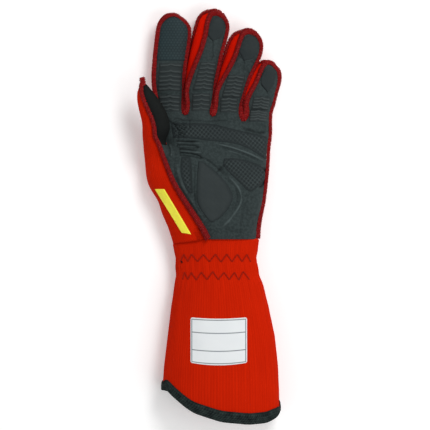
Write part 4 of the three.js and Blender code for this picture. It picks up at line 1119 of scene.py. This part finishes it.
def blended(tree, share, a, b):
    node = add(tree, "ShaderNodeMix", {"Factor": share}, data_type="RGBA")
    for key, value in ((6, a), (7, b)):
        if isinstance(value, bpy.types.NodeSocket):
            tree.links.new(value, node.inputs[key])
        else:
            node.inputs[key].default_value = linear(value)
    return node.outputs[2]


def noise(tree, where, scale, detail=3):
    inputs = {"Vector": where, "Scale": scale, "Detail": detail, "Roughness": 0.55}
    return add(tree, "ShaderNodeTexNoise", inputs).outputs["Fac"]


def stored(tree, name):
    """A value kept at each point of the piece."""
    return add(tree, "ShaderNodeAttribute", attribute_name=name).outputs["Fac"]


def ramp(tree, value, start, stop, most):
    """Rises from 0 to most while a value goes from start to stop."""
    return add(tree, "ShaderNodeMapRange", {0: value, 1: start, 2: stop, 3: 0.0, 4: most}).outputs[0]


def wave(tree, value, pitch):
    return arithmetic(tree, "SINE", arithmetic(tree, "MULTIPLY", value, 2 * math.pi / pitch))


def cloth_axes(tree):
    """The place on the cloth in mm, whole and as its two parts."""
    uv = add(tree, "ShaderNodeUVMap", uv_map="cloth_mm").outputs[0]
    split = add(tree, "ShaderNodeSeparateXYZ", {0: uv})
    return uv, split.outputs[0], split.outputs[1]


def shader(name, roughness, specular, sheen=0.0, sheen_tint="#FFFFFF"):
    made = bpy.data.materials.new(name)
    made.use_nodes = True
    tree = made.node_tree
    surface = tree.nodes["Principled BSDF"]
    for key, value in (
        ("Roughness", roughness), ("Specular IOR Level", specular), ("Sheen Weight", sheen),
        ("Sheen Roughness", 0.5), ("Sheen Tint", linear(sheen_tint)),
    ):
        surface.inputs[key].default_value = value
    place = add(tree, "ShaderNodeTexCoord").outputs["Object"]
    return made, tree, surface, place


def finish(tree, surface, colour, height, distance):
    """Links a surface's colour, and its height in the given metres as bump."""
    tree.links.new(colour, surface.inputs["Base Color"])
    bump = add(tree, "ShaderNodeBump", {"Height": height, "Distance": distance, "Strength": 1.0})
    tree.links.new(bump.outputs[0], surface.inputs["Normal"])


def knit(name, light, dark):
    """Aramid rib knit: matt, with fine wales that run along the arm, painted shade in the hollows between
    them, and a soft bloom of fibres.
    """
    wale_pitch, course_pitch = 1.66, 1.15
    made, tree, surface, place = shader(name, 0.95, 0.04)
    uv, u, v = cloth_axes(tree)
    wale = arithmetic(tree, "PINGPONG", arithmetic(tree, "DIVIDE", u, wale_pitch), 0.5)
    bow = arithmetic(tree, "MULTIPLY", wale, 5.0)
    course = arithmetic(tree, "MULTIPLY_ADD", v, 2 * math.pi / course_pitch, bow)
    stitch = arithmetic(tree, "MULTIPLY", arithmetic(tree, "SINE", course), 0.22)
    height = arithmetic(tree, "MULTIPLY_ADD", wale, 2.0, stitch)
    height = arithmetic(tree, "MULTIPLY_ADD", noise(tree, place, 2600, 2), 0.35, height)
    # Broad clouds and long streaks, as the dye takes unevenly from wale to wale.
    clouds = arithmetic(tree, "MULTIPLY", noise(tree, place, 26, 4), 0.5)
    streak = add(tree, "ShaderNodeMapping", {"Vector": uv, "Scale": (0.35, 0.012, 1)}).outputs[0]
    shade = arithmetic(tree, "MULTIPLY_ADD", noise(tree, streak, 1.6, 3), 0.7, clouds)
    base = blended(tree, arithmetic(tree, "SUBTRACT", shade, 0.1), dark, light)
    # Painted shade: the hollows between the wales are darkened towards the dark red.
    groove_shade = arithmetic(tree, "MULTIPLY", arithmetic(tree, "SUBTRACT", 0.5, wale), 0.7)
    finish(tree, surface, blended(tree, groove_shade, base, dark), height, 0.00016)
    return made


def suede(name, base, worn, deep, ridge_highlight):
    """Brushed goatskin: a fine dark nap, with painted shade in its folds and a painted highlight on its
    ridges.
    """
    made, tree, surface, place = shader(name, 0.85, 0.15, sheen=0.05, sheen_tint="#8A9696")
    nap, grain, cloud = noise(tree, place, 2200, 3), noise(tree, place, 520, 4), noise(tree, place, 45, 4)
    relief = stored(tree, "relief")
    colour = blended(tree, cloud, base, worn)
    colour = blended(tree, arithmetic(tree, "MULTIPLY", nap, 0.3), colour, deep)
    colour = blended(tree, ramp(tree, noise(tree, place, 560, 2), 0.4, 0.62, 0.55), colour, worn)
    # Painted shade where the relief sinks into folds, dents and seam gutters, and a painted highlight where
    # it rises into ridges.
    colour = blended(tree, ramp(tree, relief, -0.35, -1.6, 0.95), colour, deep)
    colour = blended(tree, ramp(tree, relief, 0.25, 1.1, 0.75), colour, ridge_highlight)
    height = arithmetic(tree, "MULTIPLY_ADD", grain, 1.0, arithmetic(tree, "MULTIPLY", nap, 0.6))
    finish(tree, surface, colour, height, 0.00012)
    return made


def rubber(name, base, raised):
    """Printed silicone: dark, smooth and dull, with paler lines where its mask is set; on the finger ribs
    that pale colour is a painted highlight.
    """
    made, tree, surface, place = shader(name, 0.7, 0.15)
    colour = blended(tree, noise(tree, place, 60, 3), base, "#22292B")
    colour = blended(tree, stored(tree, "mask"), colour, raised)
    finish(tree, surface, colour, noise(tree, place, 1500, 2), 0.00006)
    return made


def thread(name, light, dark, highlight_flecks=0.0):
    """Spun polyester thread: dull, twisted and uneven from loop to loop, with pale pink flecks painted as
    highlights on its loops.
    """
    made, tree, surface, place = shader(name, 0.8, 0.12, sheen=0.03, sheen_tint="#D07A76")
    broad = arithmetic(tree, "MULTIPLY", noise(tree, place, 120, 3), 0.4)
    share = arithmetic(tree, "MULTIPLY_ADD", noise(tree, place, 900, 2), 0.7, broad)
    colour = blended(tree, arithmetic(tree, "SUBTRACT", share, 0.05), dark, light)
    # Painted highlight: pale pink flecks scattered over the thread, as if its loops caught the light.
    ends = ramp(tree, noise(tree, place, 1400, 1), 0.6, 0.72, highlight_flecks)
    finish(tree, surface, blended(tree, ends, colour, "#B4605C"), noise(tree, place, 3000, 2), 0.00012)
    return made


def tape(name, light, dark):
    """Woven twill tape: matt, with fine slanted ribs painted paler on their crests and darker between them
    as light and shade, and worn patches.
    """
    made, tree, surface, place = shader(name, 0.85, 0.08)
    _, u, v = cloth_axes(tree)
    rib = wave(tree, arithmetic(tree, "MULTIPLY_ADD", v, 1.2, u), 1.7)
    yarn = arithmetic(tree, "MULTIPLY", wave(tree, v, 1.0), 0.25)
    height = arithmetic(tree, "MULTIPLY_ADD", rib, 0.35, yarn)
    worn = arithmetic(tree, "MULTIPLY_ADD", noise(tree, place, 260, 3), 1.4, -0.35)
    # Painted light and shade: the colour follows the ribs' height, paler on their crests and darker between
    # them; the noise adds worn patches.
    colour = blended(tree, arithmetic(tree, "MULTIPLY_ADD", height, 0.45, worn), dark, light)
    finish(tree, surface, colour, height, 0.0003)
    return made


def satin(name, ground, ink, shade):
    """Woven satin label: a tight, slightly glossy weave, with printed rules where it has them."""
    made, tree, surface, place = shader(name, 0.55, 0.25)
    _, u, v = cloth_axes(tree)
    colour = blended(tree, noise(tree, place, 40, 3), ground, shade)
    colour = blended(tree, stored(tree, "mask"), colour, ink)
    weave = arithmetic(tree, "MULTIPLY", wave(tree, u, 0.5), wave(tree, v, 0.5))
    finish(tree, surface, colour, weave, 0.00004)
    return made


def smooth_leather(name, base, worn):
    """Smooth split leather: near black, with a fine pebble and soft scuffs."""
    made, tree, surface, place = shader(name, 0.75, 0.08)
    pebble = add(tree, "ShaderNodeTexVoronoi", {"Vector": place, "Scale": 1100.0}).outputs["Distance"]
    colour = blended(tree, noise(tree, place, 70, 4), base, worn)
    height = arithmetic(tree, "MULTIPLY_ADD", pebble, 0.8, noise(tree, place, 300, 3))
    finish(tree, surface, colour, height, 0.00008)
    return made


def sheet_floor(name):
    """Matt backdrop paper, faintly mottled, with a little light of its own so that it stays white."""
    made, tree, surface, place = shader(name, 0.9, 0.2)
    surface.inputs["Emission Color"].default_value = (1, 1, 1, 1)
    surface.inputs["Emission Strength"].default_value = 0.2
    colour = blended(tree, noise(tree, place, 6, 2), "#F6F6F6", "#FAFAFA")
    finish(tree, surface, colour, noise(tree, place, 900, 2), 0.00003)
    return made


# ---- Making the glove ----------------------------------------------------------------------

MATERIALS = {
    "red_knit": knit("aramid_rib_knit", "#DA2604", "#B01802"),
    # The fourchettes' knit is a brighter copy of the red knit: painted light that makes up for the shade
    # between the fingers.
    "fourchette_knit": knit("fourchette_rib_knit", "#EA1A02", "#C01202"),
    # The suede's third colour darkens its nap and is the painted shade of its folds; its fourth is the
    # painted highlight of its ridges.
    "palm_suede": suede("brushed_goatskin", "#1D2525", "#3A4444", "#0C1011", "#4F5A5A"),
    "thumb_leather": smooth_leather("smooth_thumb_leather", "#111313", "#1B1E1D"),
    "grip": rubber("printed_silicone", "#1E2525", "#3A4343"),
    # The moulded grip's pale colour is also the painted highlight on the finger ribs.
    "grip_smooth": rubber("moulded_grip", "#2C3333", "#3F4646"),
    "grip_fine": rubber("fine_grip", "#213236", "#344446"),
    "seam": thread("overlock_thread", "#9E1516", "#660A0C", highlight_flecks=0.5),
    "zigzag": thread("elastic_thread", "#A61B04", "#8C1500"),
    "knot": thread("knot_thread", "#4A0A06", "#2C0503"),
    "tape": tape("twill_binding", "#36423F", "#0D1214"),
    "white": satin("white_satin", "#EFF2F3", "#6C7579", "#E6EBED"),
    "yellow": satin("yellow_satin", "#FFF950", "#FFF950", "#FAEE44"),
    "floor": sheet_floor("backdrop_paper"),
}


def tree_of_faces(points, quads):
    return BVHTree.FromPolygons(points.tolist(), quads.tolist())


def make_panels(levels, seams):
    """The sewn panels, whose relief fades at their borders, and the outer faces that they show."""
    fine, middle, coarse = levels
    soft, plain = lambda p: 0.12 * ripple(p, 12, 8), lambda p: 0.1 * ripple(p, 9, 20)
    # Each panel: its piece, number, fineness, relief, material, slot and node.
    specs = [
        ("palm", PALM, fine, palm_relief, "palm_suede", "palm_suede", "palm_panel"),
        ("thumb_face", THUMB, middle, soft, "thumb_leather", "palm_suede", "thumb_panel"),
        ("back", BACK, middle, back_relief, "red_knit", "red_knit", "back_panel"),
    ]
    for f, name in enumerate(BETWEEN):
        looks = ("fourchette_knit", "red_knit", "fourchette_" + name)
        specs.append(("fourchette_of_" + name, FOURCHETTE + f, middle, plain, *looks))
    seam_tree = tree_of(seams)
    shown = {}
    for name, panel, level, relief, material, slot, node in specs:
        outer, inner = cut(level, panel), cut(coarse, panel)
        border = tree_of(outer["points"][sorted(outer["border"])])
        inward = soft_step(np.array([border.find(p)[2] for p in outer["points"]]), *RELIEF_FADE)
        height = inward * relief(outer["points"]) + seam_pull(outer["points"], seam_tree, SEAM_STEP)
        points = outer["points"] + outer["normals"] * height[:, None]
        shown[panel] = tree_of_faces(points, outer["quads"])
        # The relief is kept at each point; the suede paints its shade and highlight from it.
        depth = np.concatenate([height, np.zeros(len(inner["points"]))])
        points, faces, uv = cloth(outer, inner, points)
        piece(name, points, faces, MATERIALS[material], slot, [node], uv, {"relief": depth})
    return shown


def make_hand():
    """The hand's panels and seams. Returns the shown faces of the panels."""
    cage, seams, fills = build_hand()
    control = fitted(cage)
    levels = [refined(cage, control, level) for level in (((4, 3, 2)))]
    middle = levels[1]
    whole, middle_tree = tree_of_faces(middle["points"], middle["quads"]), tree_of(middle["points"])
    paths = {name: seam_path(line, whole, middle_tree, middle) for name, line in seams.items()}
    shown = make_panels(levels, np.vstack([path[0] for path in paths.values()]))

    def make_seam(name, path, width, height, nodes):
        points, faces = overlock(path, width, height)
        piece(name, points, faces, MATERIALS["seam"], "seam_thread", nodes)

    for name, path in paths.items():
        width = averaged(seam_width(path[0], path[3], name)[:, None], 6)[:, 0]
        height = width * 1.05 + 0.45
        make_seam(name.replace("seam", "overlock"), path, width, height, [name])
    # Seams that leave the cloth: the thread between two fingers, and the thumb seam's free end. Each
    # has its line, half its width at both ends and its height as a share of that.
    free = {name: (line, 1.9, 1.3, 0.9) for name, line in fills.items()}
    free["overlock_thumb_end"] = (THUMB_SEAM_END, 1.8, 2.5, 0.6)
    for name, (line, start, stop, flatness) in free.items():
        count = round(length_of(line) / SEAM_STEP)
        line = smooth_line(line, count)
        ahead, up = unit(np.gradient(line, axis=0)), np.tile([0, 0, 1.0], (count, 1))
        width = np.linspace(start, stop, count)
        make_seam(name, (line, up, unit(np.cross(ahead, up)), ahead), width, flatness * width, [])
    return shown


def lay(name, ground, outline, size, relief, material, slot, nodes, sags=(0, 0)):
    """Drapes a piece over a surface; size is its pitch and its thickness."""
    points, faces, uv, mask = drape(ground, *outline, *size, relief, sags)
    return piece(name, points, faces, MATERIALS[material], slot, nodes, uv, {"mask": mask})


def make_prints(palm):
    for name, (*outline, relief) in PRINTS.items():
        size = PITCHES["print"], THICKNESSES["dots" if relief is dots else "print"]
        material = {dots: "grip", honeycomb: "grip_fine"}.get(relief, "grip_smooth")
        nodes = [name] if name.startswith("palm_pad") else []
        lay("grip_" + name, palm, outline, size, relief, material, "pad_print", nodes)
    for name, (first, last, ys, slope) in RIBS.items():
        low, high = ys[0] - RIB_MARGIN, ys[-1] + RIB_MARGIN
        outline = [[[first[k], low], [last[k], high]] for k in (0, 1)]
        size = PITCHES["rib"], THICKNESSES["rib"]
        lay("grip_" + name, palm, outline, size, rib_set(ys, slope), "grip_smooth", "pad_print", [name])


def make_cuff():
    """The gauntlet and its taped hem. Returns the gauntlet's outer face."""
    points, faces, uv, outer, up = build_cuff()
    piece("gauntlet", points, faces, MATERIALS["red_knit"], "red_knit", ["cuff"], uv)
    ring = binding_sections(outer, up)
    turns, size = ring.shape[:2]
    faces = grid_faces(turns, size, closed=True)
    last = (turns - 1) * size
    faces += [[last + k, last + (k + 1) % size, (k + 1) % size, k] for k in range(size)]
    along = np.linspace(0, TAPE_ROUND, turns)[:, None]
    across = np.cumsum(np.linalg.norm(np.diff(ring[0], axis=0, prepend=ring[0][:1]), axis=1))[None]
    uv = np.stack(np.broadcast_arrays(along, across), axis=-1).reshape(-1, 2)
    piece("hem_binding", ring.reshape(-1, 3), faces, MATERIALS["tape"], "binding_tape", ["cuff_binding"], uv)
    skin = outer.reshape(-1, 3).tolist()
    return BVHTree.FromPolygons(skin, grid_faces(CUFF_STEPS, CUFF_TURNS, closed=True))


def white_edge(side, way):
    """One side of the white label, with its rounded corners, from its lower end up."""
    w = WHITE_LABEL
    lower = [[w[side] + a * way, w["bottom"] + b] for a, b in WHITE_CORNER]
    upper = [[w[side] + a * way, w["top"] - b] for a, b in WHITE_CORNER]
    return lower + upper[::-1]


def make_labels(skin, back):
    outline = (white_edge("left", 1), white_edge("right", -1))
    size, ruled = (PITCHES["white"], THICKNESSES["label"]), ruled_label(**WHITE_LABEL)
    label = lay("size_label", skin, outline, size, ruled, "white", "white_label", ["cuff_label"], WHITE_SAGS)
    outline, size = (YELLOW_LEFT, YELLOW_RIGHT), (PITCHES["yellow"], THICKNESSES["label"])
    label = lay("side_label", back, outline, size, None, "yellow", "yellow_label", ["thumb_label"])


# The rows of zigzag over the elastic: each one's height along the arm, its upper corners, and how
# far it runs on at its ends.
ZIGZAG = [
    (-33.9, [-20.7, -14.3, -4.5, 5.4, 14.8, 23.5, 31.4], 3, 3.2),
    (-48.9, [-20.2, -14.6, -6.3, 3.1, 12.5, 21.2, 28.4], 1.6, 5.2),
]
ZIGZAG_RISE = 3.2
# The knot at the start of the upper row: where it is, and its line from there.
KNOT_SPOT = (-22.6, -37.2)
KNOT = np.array([(-0.5, 0.5, 0.1), (0, 0.1, 0.35), (0.4, -0.5, 0.3), (0.1, -0.9, 0.05)])


def zigzag_corners(level, peaks, before, after):
    valleys = [peaks[0] - before, *np.convolve(peaks, [0.5, 0.5], "valid"), peaks[-1] + after]
    corners = [(x, level - ZIGZAG_RISE) for x in valleys] + [(x, level + ZIGZAG_RISE) for x in peaks]
    return [(x, y + random.normal(0, 0.22)) for x, y in sorted(corners)]


def thread_tube(line, size, out):
    """A thread along a line, swelling and thinning with its twist, closed at both ends."""
    ring = np.radians(np.arange(0, 360, 60))
    ahead = unit(np.gradient(line, axis=0))
    side = unit(np.cross(ahead, out))
    lift = np.cross(side, ahead)
    size = size * (0.85 + 0.25 * np.abs(np.sin(np.arange(len(line)) * np.pi / 4.3)))[:, None, None]
    cosines, sines = np.cos(ring)[None, :, None], np.sin(ring)[None, :, None]
    tube = line[:, None] + size * (side[:, None] * cosines + lift[:, None] * sines)
    faces = grid_faces(len(line), len(ring), closed=True) + end_caps(len(line), len(ring), True)
    return tube.reshape(-1, 3), faces


def joined(parts):
    """Several (points, faces) as one."""
    points, faces, total = [], [], 0
    for p, f in parts:
        points.append(p)
        faces += [[i + total for i in face] for face in f]
        total += len(p)
    return np.vstack(points), faces


def make_zigzags(skin):
    """Two rows of zigzag stitching over the elastic, on the palm side and on the back, and a knot."""
    tubes = []
    for z, out in ((ABOVE, UP), (BELOW, -UP)):
        for row in ZIGZAG:
            corners = zigzag_corners(*row)
            legs = [np.linspace(a, b, 14)[:-1] for a, b in zip(corners, corners[1:])]
            flat = np.vstack([*legs, corners[-1:]])
            line = np.array([skin.ray_cast(Vector((x, y, z)), -out)[0] for x, y in flat])
            tubes.append(thread_tube(averaged(line, 1) + np.array(out) * 0.1, 0.58, np.array(out)))
    points, faces = joined(tubes)
    piece("elastic_zigzag", points, faces, MATERIALS["zigzag"], "seam_thread", [])
    spot = np.array(skin.ray_cast(Vector((*KNOT_SPOT, ABOVE)), -UP)[0])
    points, faces = thread_tube(smooth_line(spot + KNOT, 10), 0.6, np.array(UP))
    piece("thread_knot", points, faces, MATERIALS["knot"], "seam_thread", [])


# Where the photo's middle is, in mm, and how much the view spans, in metres, at what height.
VIEW_CENTRE = np.array([4.98, 1.66])
VIEW_WIDTH, VIEW_HEIGHT = 0.3569, 0.02


def make_studio():
    """A pale sweep of paper, a key, a fill and a side light, and a camera straight above."""
    bpy.ops.mesh.primitive_grid_add(x_subdivisions=40, y_subdivisions=40, size=3, location=(0, 0, -0.0001))
    floor = bpy.context.object
    floor.name = "backdrop"
    for vertex in floor.data.vertices:
        vertex.co.z = 0.35 * max(0, vertex.co.y - 1.0) ** 2
    floor.data.materials.append(MATERIALS["floor"])

    def area(name, place, size, energy):
        light = bpy.data.lights.new(name, "AREA")
        light.size, light.energy = size, energy
        holder = bpy.data.objects.new(name, light)
        holder.location = place
        holder.rotation_euler = (-Vector(place)).to_track_quat("-Z", "Y").to_euler()
        bpy.context.collection.objects.link(holder)

    area("key", (0.5, 0.85, 1.15), 0.55, 10.5)
    area("fill", (0.9, -0.5, 1.2), 1.2, 8)
    area("side", (-1.1, -0.3, 0.9), 0.8, 2)
    world = bpy.data.worlds.new("studio")
    world.use_nodes = True
    for index, value in enumerate(((1, 1, 1, 1), 0.38)):
        world.node_tree.nodes["Background"].inputs[index].default_value = value
    scene = bpy.context.scene
    scene.world = world
    scene.view_settings.view_transform = "Standard"

    lens = bpy.data.cameras.new("camera")
    lens.lens, lens.sensor_width = 300, 36
    lens.clip_start, lens.clip_end = 0.1, 20
    camera = bpy.data.objects.new("camera", lens)
    x, y = (VIEW_CENTRE + SHIFT[:2]) / 1000
    camera.location = (x, y, VIEW_HEIGHT + VIEW_WIDTH * lens.lens / lens.sensor_width)
    bpy.context.collection.objects.link(camera)
    scene.camera = camera


make_studio()
shown = make_hand()
make_prints(shown[PALM])
skin = make_cuff()
make_labels(skin, shown[BACK])
make_zigzags(skin)
